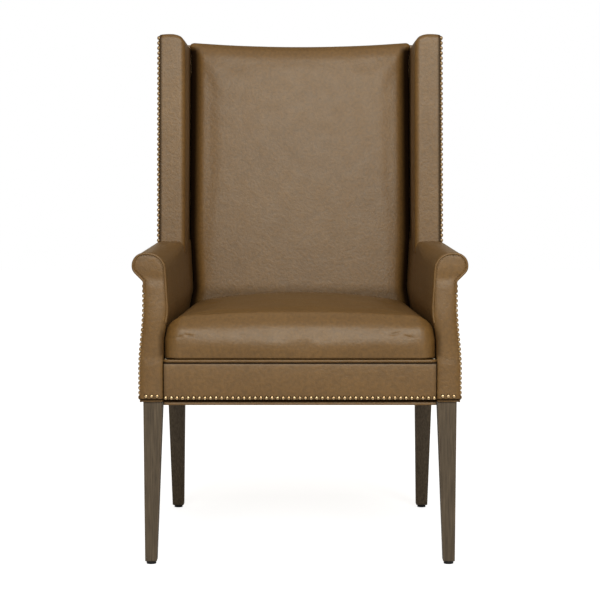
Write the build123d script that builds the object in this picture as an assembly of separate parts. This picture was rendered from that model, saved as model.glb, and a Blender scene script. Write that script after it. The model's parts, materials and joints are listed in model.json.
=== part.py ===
from build123d import *
import math
import os

os.makedirs("parts", exist_ok=True)

# Driving sizes in mm. Depths run back from the front face of the arms, heights run up from the floor and half widths
# run out from the middle. The right side is built and the left side is its mirror.
overall_height = 1122.0
leg_height = 336.0
apron_height = 85.0
arm_height = 640.0
seat_half_width = 279.0
side_narrowing = 9.0
seat_narrowing = 20.0
chair_length = 640.0

# Arm outline
arm_thickness = 48.0
outside_lean = 9.0
inside_lean = 11.0
shoulder_lean = 7.0
roll_overhang = 22.4
roll_height = 57.7
roll_roundness = 0.72
shoulder_radius = 35.0
arm_rise = 14.0
neck_radius = 8.0
foot_radius = 4.0

# Leather, padding and fits
leather = 1.6
clearance = 0.4
stump_inset = 9.0
stump_setback = 4.0
stump_depth = 28.0
welt_radius = 2.4

# Seat
seat_bulge = 5.0
seat_line = 104.0
seat_front_rise = 94.0
seat_middle_rise = 118.0
seat_back_rise = 107.0
seat_edge_rise = 88.0
seat_nose = 20.0
seat_corner = 30.0
seat_tuck = 14.0

# Back
back_depth = 520.0
back_recline = 7.85
back_crown = 8.0
back_corner = 30.0
back_roll = 12.0
back_half = 258.0
back_drop = 4.0
back_reach = 200.0

# Wings
wing_depth = 395.0
wing_recline = 4.3
wing_thickness = 58.0
crown_reach_in = 30.0
crown_reach_out = 10.0
wing_outset = 9.0
wing_inside_turn = 0.0
wing_outside_turn = 0.5
wing_edge = 14.0
wing_crown = 4.0
wing_foot = 24.0

# Wooden frame
rail_thickness = 25.0
rail_setback = 14.0
post_front = 560.0
post_depth = 40.0
post_width = 41.0
post_slimming = 8.0
post_inside = 272.0
post_bend = 430.0
post_front_lean = 7.6
post_rear_lean = 6.57
frame_drop = 32.0
leg_front = 8.0
leg_width = 39.5
leg_foot = 24.0
leg_setback = 6.5
leg_chamfer = 1.6
back_leg_heel = 690.0
back_leg_foot = 25.0
back_foot_width = 27.0
back_foot_setback = 3.5
tenon_thickness = 12.0
tenon_height = 44.0
tenon_length = 16.0
arm_rail_height = 28.0
arm_rail_width = 30.0
wing_post_width = 25.0
wing_post_depth = 38.0
back_rail_height = 50.0
block_height = 40.0
block_reach = 70.0
glide_height = 6.0
glide_radius = 10.0

# Suspension
strap_width = 50.0
strap_thickness = 1.5
tacking = 8.0
seat_strap_count = 4
cross_strap_count = 4
back_strap_count = 5
deck_thickness = 10.5
deck_back_gap = 40.0

# Nails
nail_radius = 4.8
nail_height = 3.8
nail_taper = 36.0
nail_pitch = 11.35
arm_nail_pitch = 9.9
nail_row = 9.0

# Sizes that follow from the ones above
welt_z = leg_height + apron_height
rail_top = welt_z - 9.5
side_rail_top = rail_top - strap_thickness
deck_bottom = rail_top + strap_thickness
deck_top = deck_bottom + deck_thickness
seat_bottom = welt_z + welt_radius + clearance / 4
foot_in = seat_half_width
foot_out = foot_in + arm_thickness
waist_out = foot_out - outside_lean
waist_in = foot_in - inside_lean
leg_out = foot_out - leg_setback
leg_in = leg_out - leg_width
post_outside = post_inside + post_width
post_slim = post_outside - post_slimming
post_rear = post_front + post_depth
frame_top = overall_height - frame_drop
stump_front = leg_front + stump_setback
stump_rear = stump_front + stump_depth
arm_rail_top = arm_height - 15.0
arm_rail_in = foot_in + 3.0
wing_out = foot_out - wing_outset
wing_in = wing_out - wing_thickness
wing_post_in = arm_rail_in + 1.0
side_rail_out = leg_out - 1.0
side_rail_in = side_rail_out - rail_thickness
side_rail_turn = (side_rail_out - post_outside + 0.5) / (post_front - leg_front - leg_width)
heel_rake = (back_leg_heel - post_rear) / (leg_height - glide_height)
middle_depth = (back_leg_heel - leg_chamfer * heel_rake - seat_bulge) / 2
side_turn = side_narrowing / chair_length
seat_turn = seat_narrowing / chair_length
far = 2.0 * overall_height


def rear_at(z):
    return post_rear + (z - post_bend) * math.tan(math.radians(post_rear_lean))


def frame_front_at(z):
    return post_front + (z - post_bend) * math.tan(math.radians(post_front_lean))


def back_face_at(z):
    return back_depth + (z - welt_z - seat_line) * math.tan(math.radians(back_recline))


def wing_front_at(z):
    return wing_depth + (z - arm_height) * math.tan(math.radians(wing_recline))


def section_plane(depth):
    return Plane(origin=(0, depth, 0), x_dir=(1, 0, 0), z_dir=(0, -1, 0))


def outline(points, radii=None):
    """A closed face through the points, with a radius at each corner where one is given."""
    if radii is None:
        return make_face(Polyline(*points, close=True))
    return make_face(FilletPolyline(*points, radius=radii, close=True))


def side_prism(points, x0, x1, radii=None):
    """Points are (depth, height); the prism runs from x0 to x1."""
    return extrude(Pos(x0, 0, 0) * (Plane.YZ * outline(points, radii)), x1 - x0, dir=(1, 0, 0))


def front_prism(face, d0, d1):
    """The face is drawn in (half width, height); the prism runs back from depth d0 to d1."""
    return extrude(section_plane(d0) * face, d1 - d0, dir=(0, 1, 0))


def plan_prism(points, z0, z1, radii=None):
    """Points are (half width, depth); the prism runs up from z0 to z1."""
    return extrude(Pos(0, 0, z0) * outline(points, radii), z1 - z0, dir=(0, 0, 1))


def block(x0, x1, d0, d1, z0, z1):
    return plan_prism([(x0, d0), (x1, d0), (x1, d1), (x0, d1)], z0, z1)


def mirrored(shape):
    return mirror(shape, about=Plane.YZ)


def corner_radius(before, corner, after, run):
    """The radius that rounds a corner over a given run along both of its sides."""
    first = math.atan2(corner[1] - before[1], corner[0] - before[0])
    second = math.atan2(after[1] - corner[1], after[0] - corner[0])
    turn = abs((second - first + math.pi) % (2 * math.pi) - math.pi)
    return run / math.tan(turn / 2)


def arm_corners():
    """Corner points and radii of the scroll-shaped arm section."""
    height = arm_height - leg_height
    neck = arm_height - roll_height
    roll_radius = roll_roundness * (roll_height - roll_overhang)
    under_radius = (roll_height - roll_overhang - roll_radius - 1.0) / math.tan(math.radians(22.5))
    points = [
        (foot_out, leg_height),
        (foot_out, leg_height + 0.29 * height),
        (waist_out, leg_height + 0.587 * height),
        (waist_out, neck),
        (waist_out + roll_overhang, neck + roll_overhang),
        (waist_out + roll_overhang, arm_height),
        (waist_in + shoulder_lean, arm_height),
        (waist_in, leg_height + 0.603 * height),
        (foot_in, leg_height + 0.413 * height),
        (foot_in, leg_height),
    ]
    outer_run = 0.33 * math.dist(points[1], points[2])
    inner_run = 0.24 * math.dist(points[7], points[8])
    radii = [
        foot_radius,
        corner_radius(points[0], points[1], points[2], outer_run),
        corner_radius(points[1], points[2], points[3], outer_run),
        neck_radius,
        under_radius,
        roll_radius,
        shoulder_radius,
        corner_radius(points[6], points[7], points[8], inner_run),
        corner_radius(points[7], points[8], points[9], inner_run),
        foot_radius,
    ]
    return points, radii


def inset_corners(points, radii, inset):
    """The same outline drawn in by the inset: sides move inwards, outer corners tighten and hollow ones open."""
    count = len(points)
    lines = []
    for i in range(count):
        start = Vector(*points[i])
        along = (Vector(*points[(i + 1) % count]) - start).normalized()
        lines.append((start + Vector(-along.Y, along.X) * inset, along))
    moved = []
    new_radii = []
    for i in range(count):
        (start, before), (other, after) = lines[i - 1], lines[i]
        cross = before.X * after.Y - before.Y * after.X
        gap = other - start
        reach = (gap.X * after.Y - gap.Y * after.X) / cross
        corner = start + before * reach
        moved.append((corner.X, corner.Y))
        new_radii.append(max(0.0, radii[i] - inset) if cross > 0 else max(0.0, radii[i] + inset))
    return moved, new_radii


def turned_in(shape, narrowing, pivot):
    """Turns a straight right-hand form in towards the back, about an upright line at the front."""
    angle = math.degrees(math.atan(narrowing / chair_length))
    return Pos(pivot, 0, 0) * Rot(0, 0, angle) * Pos(-pivot, 0, 0) * shape


def arm_form(inset, start=leather):
    """The whole arm behind its front panel, rising towards the back and drawn in by the inset."""
    points, radii = inset_corners(*arm_corners(), inset)
    foot = leg_height - 2.0 * apron_height
    top = points[5][1]
    outside = [(-far, foot), (points[0][0], foot), *points[1:6], (-far, top)]
    inside = [(far, top), *points[6:9], (points[9][0], foot), (far, foot)]
    outside = outline(outside, [0.0, 0.0, *radii[1:6], 0.0])
    inside = outline(inside, [0.0, *radii[6:9], 0.0, 0.0])
    end = chair_length + arm_thickness
    form = turned_in(front_prism(outside, -arm_thickness, end), side_narrowing, foot_out)
    form = form & turned_in(front_prism(inside, -arm_thickness, end), seat_narrowing, foot_in)
    climb = math.degrees(math.atan(arm_rise / wing_depth))
    form = Pos(0, 0, arm_height) * Rot(climb, 0, 0) * Pos(0, 0, -arm_height) * form
    form = form - block(-far, far, -far, start, 0, far)
    return form - block(-far, far, -far, far, 0, leg_height + inset)


def wing_form(inset, spread):
    """The whole wing, drawn in by the inset; spread carries the rear and the foot past their open ends."""
    low = arm_height - wing_foot
    high = overall_height + 20.0
    side = [
        (wing_front_at(low) + inset, low),
        (wing_front_at(high) + inset, high),
        (rear_at(high) + spread, high),
        (rear_at(low) + spread, low),
    ]
    start = wing_front_at(low) - 20.0
    end = rear_at(high) + post_depth
    inner = math.tan(math.radians(wing_inside_turn))
    outer = math.tan(math.radians(wing_outside_turn))
    plan = [
        (wing_in + inset - (start - wing_depth) * inner, start),
        (wing_out - inset - (start - wing_depth) * outer, start),
        (wing_out - inset - (end - wing_depth) * outer, end),
        (wing_in + inset - (end - wing_depth) * inner, end),
    ]
    top = overall_height - inset
    reach_in = wing_in - crown_reach_in
    reach_out = wing_out + crown_reach_out
    crown = make_face(
        Line((reach_in, low - 10.0), (reach_out, low - 10.0))
        + Line((reach_out, low - 10.0), (reach_out, top - wing_crown))
        + ThreePointArc(
            (reach_out, top - wing_crown), ((reach_in + reach_out) / 2, top), (reach_in, top - wing_crown)
        )
        + Line((reach_in, top - wing_crown), (reach_in, low - 10.0))
    )
    form = side_prism(side, reach_in, reach_out) & plan_prism(plan, low - 10.0, high + 10.0)
    form = form & front_prism(crown, start - 10.0, end + 10.0)
    front_inner = form.edges().filter_by(lambda e: e.length > (high - low) / 2).sort_by(Axis.Y)[:2].sort_by(Axis.X)[0]
    return fillet(front_inner, wing_edge - inset)


def seat_form(inset, bottom):
    """The crowned seat, rounded along its front and beside both arms, drawn in by the inset."""
    half = seat_half_width - 1.0 - inset
    edge = welt_z + seat_edge_rise - inset
    crown = welt_z + seat_middle_rise - inset
    across = make_face(
        Line((-half, bottom), (half, bottom))
        + Line((half, bottom), (half, edge))
        + ThreePointArc((half, edge), (0, crown), (-half, edge))
        + Line((-half, edge), (-half, bottom))
    )
    corner = across.vertices().filter_by(lambda v: v.X > 0).sort_by(Axis.Y)[-1]
    across = fillet(corner, seat_corner - inset)
    front = inset - seat_bulge
    end = back_depth + seat_tuck
    front_top = welt_z + seat_front_rise - inset
    end_top = welt_z + seat_back_rise - inset
    along = make_face(
        Line((front, bottom), (end, bottom))
        + Line((end, bottom), (end, end_top))
        + ThreePointArc((end, end_top), (end / 2, crown), (front, front_top))
        + Line((front, front_top), (front, bottom))
    )
    nose = along.vertices().filter_by(lambda v: v.X < end / 2).sort_by(Axis.Y)[-1]
    along = fillet(nose, seat_nose - inset)
    side = turned_in(front_prism(across, -seat_corner, end + seat_corner), seat_narrowing, foot_in)
    form = extrude(Pos(-far / 4, 0, 0) * (Plane.YZ * along), far / 2, dir=(1, 0, 0))
    form = form & side & mirrored(side)
    beside = arm_form(-clearance - inset, -2.0 * seat_bulge)
    return form - back_form(-clearance - inset) - beside - mirrored(beside)


def back_form(inset):
    """The padded inside back with its crown and top roll, drawn in by the inset and open at the rear."""
    half = back_half - inset
    plan = make_face(
        ThreePointArc((-half, inset), (0, inset - back_crown), (half, inset))
        + Line((half, inset), (half, back_reach))
        + Line((half, back_reach), (-half, back_reach))
        + Line((-half, back_reach), (-half, inset))
    )
    plan = fillet(plan.vertices().sort_by(Axis.Y)[:2], back_corner - inset)
    lean = math.radians(back_recline)
    rise = (overall_height - back_drop - welt_z - seat_line) / math.cos(lean) - inset
    pad = extrude(Pos(0, 0, -2.0 * seat_line) * plan, rise + 2.0 * seat_line, dir=(0, 0, 1))
    rear = pad.faces().sort_by(Axis.Z)[-1].edges().sort_by(Axis.Y)[-1]
    rim = [e for e in pad.faces().sort_by(Axis.Z)[-1].edges() if e != rear]
    pad = fillet(rim, back_roll - inset)
    pad = Pos(0, back_depth, welt_z + seat_line) * Rot(-back_recline, 0, 0) * pad
    beside = arm_form(-clearance - inset)
    return pad - block(-far, far, -far, far, -far, welt_z - 2.0) - beside - mirrored(beside)


def frame_void():
    """The open space between the back posts, from the webbing to the outside back."""
    low = leg_height - 20.0
    points = [
        (frame_front_at(low) - strap_thickness, low),
        (frame_front_at(frame_top) - strap_thickness, frame_top),
        (rear_at(frame_top) + 2 * post_depth, frame_top),
        (rear_at(frame_top) + 2 * post_depth, low),
    ]
    return side_prism(points, -post_inside, post_inside)


def behind_chair():
    """Everything behind the line of the back posts."""
    high = overall_height + 2 * post_depth
    points = [
        (post_rear, 0.0),
        (post_rear, post_bend),
        (rear_at(high), high),
        (far, high),
        (far, 0.0),
    ]
    return side_prism(points, -far, far)


def make_front_leg():
    front_view = [
        (leg_out - 2.5 - leg_foot, glide_height),
        (leg_out - 2.5, glide_height),
        (leg_out, leg_height),
        (leg_out, side_rail_top),
        (leg_in, side_rail_top),
        (leg_in, leg_height),
    ]
    side_view = [
        (leg_front + 2.0, glide_height),
        (leg_front + 2.0 + leg_foot, glide_height),
        (leg_front + leg_width, leg_height),
        (leg_front + leg_width, side_rail_top),
        (leg_front, side_rail_top),
        (leg_front, leg_height),
    ]
    leg = side_prism(side_view, leg_in - 20.0, leg_out + 20.0)
    leg = leg & front_prism(outline(front_view), 0.0, 2.0 * leg_width)
    return chamfer(leg.faces().sort_by(Axis.Z)[0].edges(), leg_chamfer)


def make_back_leg():
    """One sawn piece: a raked, tapered leg below the seat and a leaning back post above it."""
    heel = back_leg_heel
    side_view = [
        (heel - back_leg_foot, glide_height),
        (heel, glide_height),
        (post_rear, leg_height),
        (post_rear, post_bend),
        (rear_at(frame_top), frame_top),
        (frame_front_at(frame_top), frame_top),
        (post_front, post_bend),
        (post_front, leg_height),
    ]
    front_view = [
        (post_outside - back_foot_setback - back_foot_width, glide_height),
        (post_outside - back_foot_setback, glide_height),
        (post_outside, leg_height),
        (post_outside, welt_z),
        (post_slim, welt_z + leg_width),
        (post_slim, frame_top),
        (post_inside, frame_top),
        (post_inside, leg_height),
    ]
    leg = side_prism(side_view, post_inside - 20.0, post_outside + 20.0)
    leg = leg & front_prism(outline(front_view), post_front - 20.0, heel + 20.0)
    return chamfer(leg.faces().sort_by(Axis.Z)[0].edges(), leg_chamfer)


def tenon_levels():
    middle = leg_height + (side_rail_top - leg_height) / 2
    return middle - tenon_height / 2, middle + tenon_height / 2


def make_cross_rail(half, d0):
    """A rail across the chair with a tenon at each end."""
    low, high = tenon_levels()
    rail = block(-half, half, d0, d0 + rail_thickness, leg_height, rail_top)
    tenon_start = d0 + (rail_thickness - tenon_thickness) / 2
    reach = half + tenon_length
    return rail + block(-reach, reach, tenon_start, tenon_start + tenon_thickness, low, high)


def make_side_rail():
    """A side rail that turns in towards the back, with a tenon at each end."""
    low, high = tenon_levels()
    start = leg_front + leg_width
    end = post_front
    shift = side_rail_turn * (end - start)
    rail = plan_prism(
        [
            (side_rail_in, start),
            (side_rail_out, start),
            (side_rail_out - shift, end),
            (side_rail_in - shift, end),
        ],
        leg_height,
        side_rail_top,
    )
    margin = (rail_thickness - tenon_thickness) / 2
    front = block(
        side_rail_in + margin, side_rail_out - margin, start - tenon_length, start + 1.0, low, high
    )
    back = block(
        side_rail_in - shift + margin, side_rail_out - shift - margin, end - 1.0, end + tenon_length, low, high
    )
    return rail + front + back


def side_rail_inside_at(depth):
    return side_rail_in - side_rail_turn * (depth - leg_front - leg_width)


def corner_block_plans():
    """Plan outlines of the front and back corner blocks."""
    front_rear = rail_setback + rail_thickness
    leg_rear = leg_front + leg_width
    reach = leg_rear + block_reach
    front = [
        (leg_in - block_reach, front_rear),
        (leg_in, front_rear),
        (leg_in, leg_rear),
        (side_rail_inside_at(leg_rear), leg_rear),
        (side_rail_inside_at(reach), reach),
    ]
    back_start = post_front + 5.0
    back_reach = post_front - block_reach
    back = [
        (post_inside - block_reach, back_start),
        (side_rail_inside_at(back_reach), back_reach),
        (side_rail_inside_at(post_front), post_front),
        (post_inside, post_front),
        (post_inside, back_start),
    ]
    return front, back


def make_arm_stump():
    face = outline(*inset_corners(*arm_corners(), stump_inset))
    stump = front_prism(face, stump_front, stump_rear)
    return stump & block(0, far, 0, far, side_rail_top, far)


def make_arm_rail():
    low = arm_rail_top - arm_rail_height
    points = [
        (stump_rear, low),
        (frame_front_at(low), low),
        (frame_front_at(arm_rail_top), arm_rail_top),
        (stump_rear, arm_rail_top),
    ]
    return side_prism(points, arm_rail_in, arm_rail_in + arm_rail_width)


def make_wing_post():
    def edge(z):
        return wing_front_at(z) + 14.0

    points = [
        (edge(arm_rail_top), arm_rail_top),
        (edge(arm_rail_top) + wing_post_depth, arm_rail_top),
        (edge(frame_top) + wing_post_depth, frame_top),
        (edge(frame_top), frame_top),
    ]
    return side_prism(points, wing_post_in, wing_post_in + wing_post_width)


def make_wing_rail():
    low = frame_top - arm_rail_height
    offset_back = 14.0 + wing_post_depth
    points = [
        (wing_front_at(low) + offset_back, low),
        (frame_front_at(low), low),
        (frame_front_at(frame_top), frame_top),
        (wing_front_at(frame_top) + offset_back, frame_top),
    ]
    return side_prism(points, wing_post_in, post_slim)


def make_back_rail(low, depth_share):
    """A rail between the back posts that leans with them."""
    high = low + back_rail_height
    points = []
    for z in (low, high):
        front = frame_front_at(z)
        points.append((front, front + depth_share * (rear_at(z) - front), z))
    (front_low, rear_low, z_low), (front_high, rear_high, z_high) = points
    profile = [(front_low, z_low), (rear_low, z_low), (rear_high, z_high), (front_high, z_high)]
    return side_prism(profile, -post_inside, post_inside)


def spread_along(start, end, count):
    step = (end - start) / (count + 1)
    return [start + step * (i + 1) for i in range(count)]


def make_seat_webbing():
    """Straps from front to back, lying on the cross straps."""
    straps = []
    start = rail_setback + 4.0
    end = post_front + 5.0 + rail_thickness - 4.0
    for x in spread_along(-post_inside + 20.0, post_inside - 20.0, seat_strap_count):
        low = x - strap_width / 2
        straps.append(block(low, low + strap_width, start, end, rail_top, rail_top + strap_thickness))
    return straps


def make_cross_webbing():
    """Straps across the chair, tacked to the tops of the side rails."""
    straps = []
    for depth in spread_along(leg_front + leg_width, post_front, cross_strap_count):
        half = side_rail_inside_at(depth) + 18.0
        start = depth - strap_width / 2
        straps.append(block(-half, half, start, start + strap_width, side_rail_top, rail_top))
    return straps


def make_back_webbing():
    straps = []
    for z in spread_along(welt_z + post_depth, frame_top - back_rail_height, back_strap_count):
        low = z - strap_width / 2
        high = z + strap_width / 2
        points = [
            (frame_front_at(low) - strap_thickness, low),
            (frame_front_at(low), low),
            (frame_front_at(high), high),
            (frame_front_at(high) - strap_thickness, high),
        ]
        straps.append(side_prism(points, -post_slim + tacking, post_slim - tacking))
    return straps


def make_deck_pad():
    half_front = seat_half_width - 3.0
    half_back = half_front - seat_narrowing
    points = [
        (-half_front, rail_setback + 2.0),
        (half_front, rail_setback + 2.0),
        (half_back, back_depth - deck_back_gap),
        (-half_back, back_depth - deck_back_gap),
    ]
    return plan_prism(points, deck_bottom, deck_top)


def make_front_border():
    """The leather over the front rail, turned under at its foot."""
    top = welt_z - welt_radius - clearance / 4
    foot = leg_height - 3.0
    points = [
        (0.0, top),
        (0.0, foot),
        (rail_setback, foot),
        (rail_setback, foot + leather),
        (leather, foot + leather),
        (leather, top),
    ]
    radii = [0.0, 4.0, 0.0, 0.0, 4.0 - leather, 0.0]
    return side_prism(points, -seat_half_width + clearance, seat_half_width - clearance, radii)


def make_border_padding():
    low = leg_height - 3.0 + leather + clearance / 2
    high = welt_z - welt_radius - clearance
    points = [
        (leather + clearance / 2, low),
        (rail_setback, low),
        (rail_setback, high),
        (leather + clearance / 2, high),
    ]
    radii = [4.0, 0.0, 0.0, 0.0]
    return side_prism(points, -seat_half_width + 2 * clearance, seat_half_width - 2 * clearance, radii)


def make_seat_welt():
    half = seat_half_width - 2.0
    return Pos(0, 0, welt_z) * (Rot(0, 90, 0) * Cylinder(welt_radius, 2 * half))


def make_arm_welt():
    """A piped edge from under the roll, over the arm and down its inside to the seat."""
    points, radii = inset_corners(*arm_corners(), welt_radius)
    start = (points[3][0], points[3][1] - 24.0)
    share = 0.36
    end = tuple(a + (b - a) * share for a, b in zip(points[7], points[8]))
    plane = section_plane(-welt_radius - clearance / 8)
    path = plane * FilletPolyline(start, *points[3:8], end, radius=radii[3:8])
    profile = Plane(origin=path @ 0, z_dir=path % 0) * RegularPolygon(welt_radius, 6)
    return sweep(profile, path=path)


def make_nail():
    """A faceted nail head with its flat underside on the plane of its own origin."""
    return extrude(RegularPolygon(nail_radius, 6), nail_height, taper=nail_taper)


def place_nails(seats):
    nail = make_nail()
    return [Plane(origin=point, z_dir=normal) * nail for point, normal in seats]


def row(start, end, pitch=nail_pitch):
    """Evenly spaced places along a run, as near to the nail pitch as a whole count allows."""
    count = max(1, round((end - start) / pitch))
    return [start + (end - start) * i / count for i in range(count + 1)]


def front_nail_seats():
    z = leg_height + nail_row
    edge = seat_half_width - nail_radius - 1.0
    xs = row(-edge, edge)
    arm_start = foot_in + nail_radius + 7.0
    arm_xs = [arm_start + nail_pitch * i for i in range(3)]
    xs = [-x for x in reversed(arm_xs)] + xs + arm_xs
    return [((x, 0.0, z), (0, -1, 0)) for x in xs]


def arm_nail_seats():
    """Nails up the outside of the arm, close behind its front edge."""
    depth = nail_radius + 5.0
    points, radii = arm_corners()
    path = FilletPolyline(*points[0:4], radius=radii[1:3])
    length = path.length
    seats = []
    for at in row(nail_row + arm_nail_pitch, length - 10.0, arm_nail_pitch):
        point = path.position_at(at / length)
        along = path.tangent_at(at / length)
        normal = Vector(along.Y, side_turn, -along.X).normalized()
        lift = normal * (clearance / 8)
        x = point.X - side_turn * depth + lift.X
        seats.append(((x, depth + lift.Y, point.Y + lift.Z), normal))
    return seats


def foot_nail_seats():
    """Nails along the foot of the outside arm."""
    normal = Vector(1, side_turn, 0).normalized()
    z = leg_height + nail_row
    seats = []
    for depth in row(nail_radius + 5.0, post_rear - nail_radius - 5.0):
        seats.append(((foot_out - side_turn * depth, depth, z), normal))
    return seats


def wing_nail_seats():
    """Nails up the outside of the wing, close behind its front edge."""
    turn = math.tan(math.radians(wing_outside_turn))
    normal = Vector(1, turn, 0).normalized()
    seats = []
    for z in row(arm_height + 16.0, overall_height - wing_crown - nail_radius - 1.0):
        depth = wing_front_at(z) + nail_radius + 3.0
        seats.append(((wing_out - turn * (depth - wing_depth), depth, z), normal))
    return seats


def build():
    """Every node of the chair as a name and a list of solids."""
    nodes = {}

    def add(name, shape):
        nodes[name] = shape if isinstance(shape, list) else list(shape.solids())

    def add_pair(name, shape):
        add(name + "_right", shape)
        nodes[name + "_left"] = [mirrored(s) for s in nodes[name + "_right"]]

    void = frame_void()
    behind = behind_chair()

    # Frame
    front_leg = make_front_leg()
    back_leg = make_back_leg()
    front_rail = make_cross_rail(leg_in, rail_setback)
    back_rail = make_cross_rail(post_inside, post_front + 5.0)
    side_rail = make_side_rail()
    front_plan, back_plan = corner_block_plans()
    block_low = leg_height + (side_rail_top - leg_height - block_height) / 2
    front_block = plan_prism(front_plan, block_low, block_low + block_height)
    back_block = plan_prism(back_plan, block_low, block_low + block_height)
    stump = make_arm_stump()
    arm_rail = make_arm_rail()
    wing_post = make_wing_post()
    wing_rail = make_wing_rail()
    add_pair("front_leg", front_leg - front_rail - side_rail)
    add_pair("back_leg", back_leg - back_rail - side_rail)
    add("front_seat_rail", front_rail)
    add("back_seat_rail", back_rail)
    add_pair("side_seat_rail", side_rail)
    blocks = [front_block.solid(), back_block.solid()]
    add("corner_blocks", blocks + [mirrored(s) for s in blocks])
    add_pair("arm_stump", stump)
    add_pair("arm_rail", arm_rail)
    add_pair("wing_post", wing_post)
    add_pair("wing_rail", wing_rail)
    add("back_top_rail", make_back_rail(frame_top - back_rail_height, 1.0))
    add("back_lower_rail", make_back_rail(welt_z + 24.0, 0.6))
    glides = []
    foot_x = leg_out - 2.5 - leg_foot / 2
    heel_x = post_outside - back_foot_setback - back_foot_width / 2
    for x, depth in (
        (foot_x, leg_front + 2.0 + leg_foot / 2),
        (heel_x, back_leg_heel - back_leg_foot / 2),
    ):
        for side in (1, -1):
            glides.append(Pos(side * x, depth, glide_height / 2) * Cylinder(glide_radius, glide_height))
    add("leg_glides", glides)

    # Suspension
    back_webbing = make_back_webbing()
    seat_straps = make_seat_webbing()
    cross_straps = make_cross_webbing()
    add("seat_webbing", seat_straps)
    add("seat_cross_webbing", cross_straps)
    add("back_webbing", back_webbing)
    add("deck_pad", make_deck_pad())
    sheet = [
        (leg_in + 20.0, rail_setback + 2.0),
        (post_inside + 20.0, post_rear - 12.0),
        (-post_inside - 20.0, post_rear - 12.0),
        (-leg_in - 20.0, rail_setback + 2.0),
    ]
    dust = plan_prism(sheet, leg_height - 1.0, leg_height)
    for leg in (front_leg, back_leg):
        dust = dust - leg - mirrored(leg)
    add("dust_cover", dust)

    # Arms
    welt = make_arm_welt()
    arm_outer = arm_form(0.0) - behind
    arm_inner = arm_form(leather)
    under_deck = block(0, side_rail_in, leg_front + leg_width, far, 0, deck_top)
    under_deck = under_deck + block(0, leg_in, rail_setback, far, 0, deck_top)
    parting = foot_in + 0.3 * arm_thickness
    under_cover = block(0, parting, -far, far, 0, deck_top)
    outer_half = block(parting, far, -far, far, 0, arm_height - roll_height)
    foot_slab = block(0, far, -far, far, 0, leg_height + leather)
    shell = arm_outer - arm_inner - foot_slab - void
    for piece in (wing_post, back_leg, *back_webbing):
        shell = shell - piece
    add_pair("inside_arm_cover", shell - outer_half - under_cover)
    add_pair("outside_arm_cover", shell & outer_half)
    padding = (arm_inner & arm_outer) - under_deck - void
    for piece in (front_leg, side_rail, stump, arm_rail, wing_post, back_leg, *back_webbing, *cross_straps):
        padding = padding - piece
    add_pair("arm_padding", padding)
    add_pair("arm_front_panel", front_prism(outline(*arm_corners()), 0.0, leather))
    add_pair("arm_front_welt", welt)

    # Wings
    wing_outer = wing_form(0.0, 0.0) - arm_outer - behind
    wing_inner = wing_form(leather, 20.0)
    outer_skin = wing_outer - wing_inner - void
    turn = math.tan(math.radians(wing_outside_turn))
    start = -100.0
    end = far
    strip = plan_prism(
        [
            (wing_out - leather - (start - wing_depth) * turn, start),
            (wing_out + 20.0 - (start - wing_depth) * turn, start),
            (wing_out + 20.0 - (end - wing_depth) * turn, end),
            (wing_out - leather - (end - wing_depth) * turn, end),
        ],
        0.0,
        far,
    )
    add_pair("outside_wing_cover", outer_skin & strip)
    add_pair("inside_wing_cover", outer_skin - strip)
    wing_padding = (wing_inner & wing_outer) - void
    for piece in (wing_post, wing_rail, back_leg, *back_webbing):
        wing_padding = wing_padding - piece
    add_pair("wing_padding", wing_padding)

    # Back
    back_outer = back_form(0.0) - behind
    back_inner = back_form(leather)
    low_end = block(-far, far, -far, far, 0, welt_z)
    add("inside_back_cover", back_outer - back_inner - void - low_end)
    add("back_foam", (back_inner & back_outer) - void)
    panel = [
        (post_rear, leg_height),
        (post_rear, post_bend),
        (rear_at(overall_height - back_drop), overall_height - back_drop),
        (rear_at(overall_height - back_drop) + leather, overall_height - back_drop),
        (post_rear + leather, post_bend),
        (post_rear + leather, leg_height),
    ]
    half = wing_out - (rear_at(overall_height) - wing_depth) * turn
    slab = side_prism(panel, -half, half)
    wide = side_prism(panel, 0.0, far)
    lobe = wide & arm_form(0.0)
    add("outside_back_cover", slab + lobe + mirrored(lobe))

    # Seat and front border
    add("seat_cover", seat_form(0.0, seat_bottom) - seat_form(leather, seat_bottom - 20.0))
    add("seat_foam", seat_form(leather, deck_top))
    add("seat_welt", make_seat_welt())
    add("front_border", make_front_border())
    add("border_padding", make_border_padding())

    # Nails
    add("front_nails", place_nails(front_nail_seats()))
    for name, seats in (
        ("arm_nails", arm_nail_seats()),
        ("foot_nails", foot_nail_seats()),
        ("wing_nails", wing_nail_seats()),
    ):
        nails = place_nails(seats)
        add(name + "_right", nails)
        add(name + "_left", [mirrored(n) for n in nails])
    return nodes


for name, solids in build().items():
    placed = [Pos(0, -middle_depth, 0) * s for s in solids]
    shape = placed[0] if len(placed) == 1 else Compound(placed)
    export_step(shape, "parts/" + name + ".step")
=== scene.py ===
import json
import math

import bmesh
import bpy
import numpy as np
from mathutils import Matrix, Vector
from mathutils.kdtree import KDTree


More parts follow.
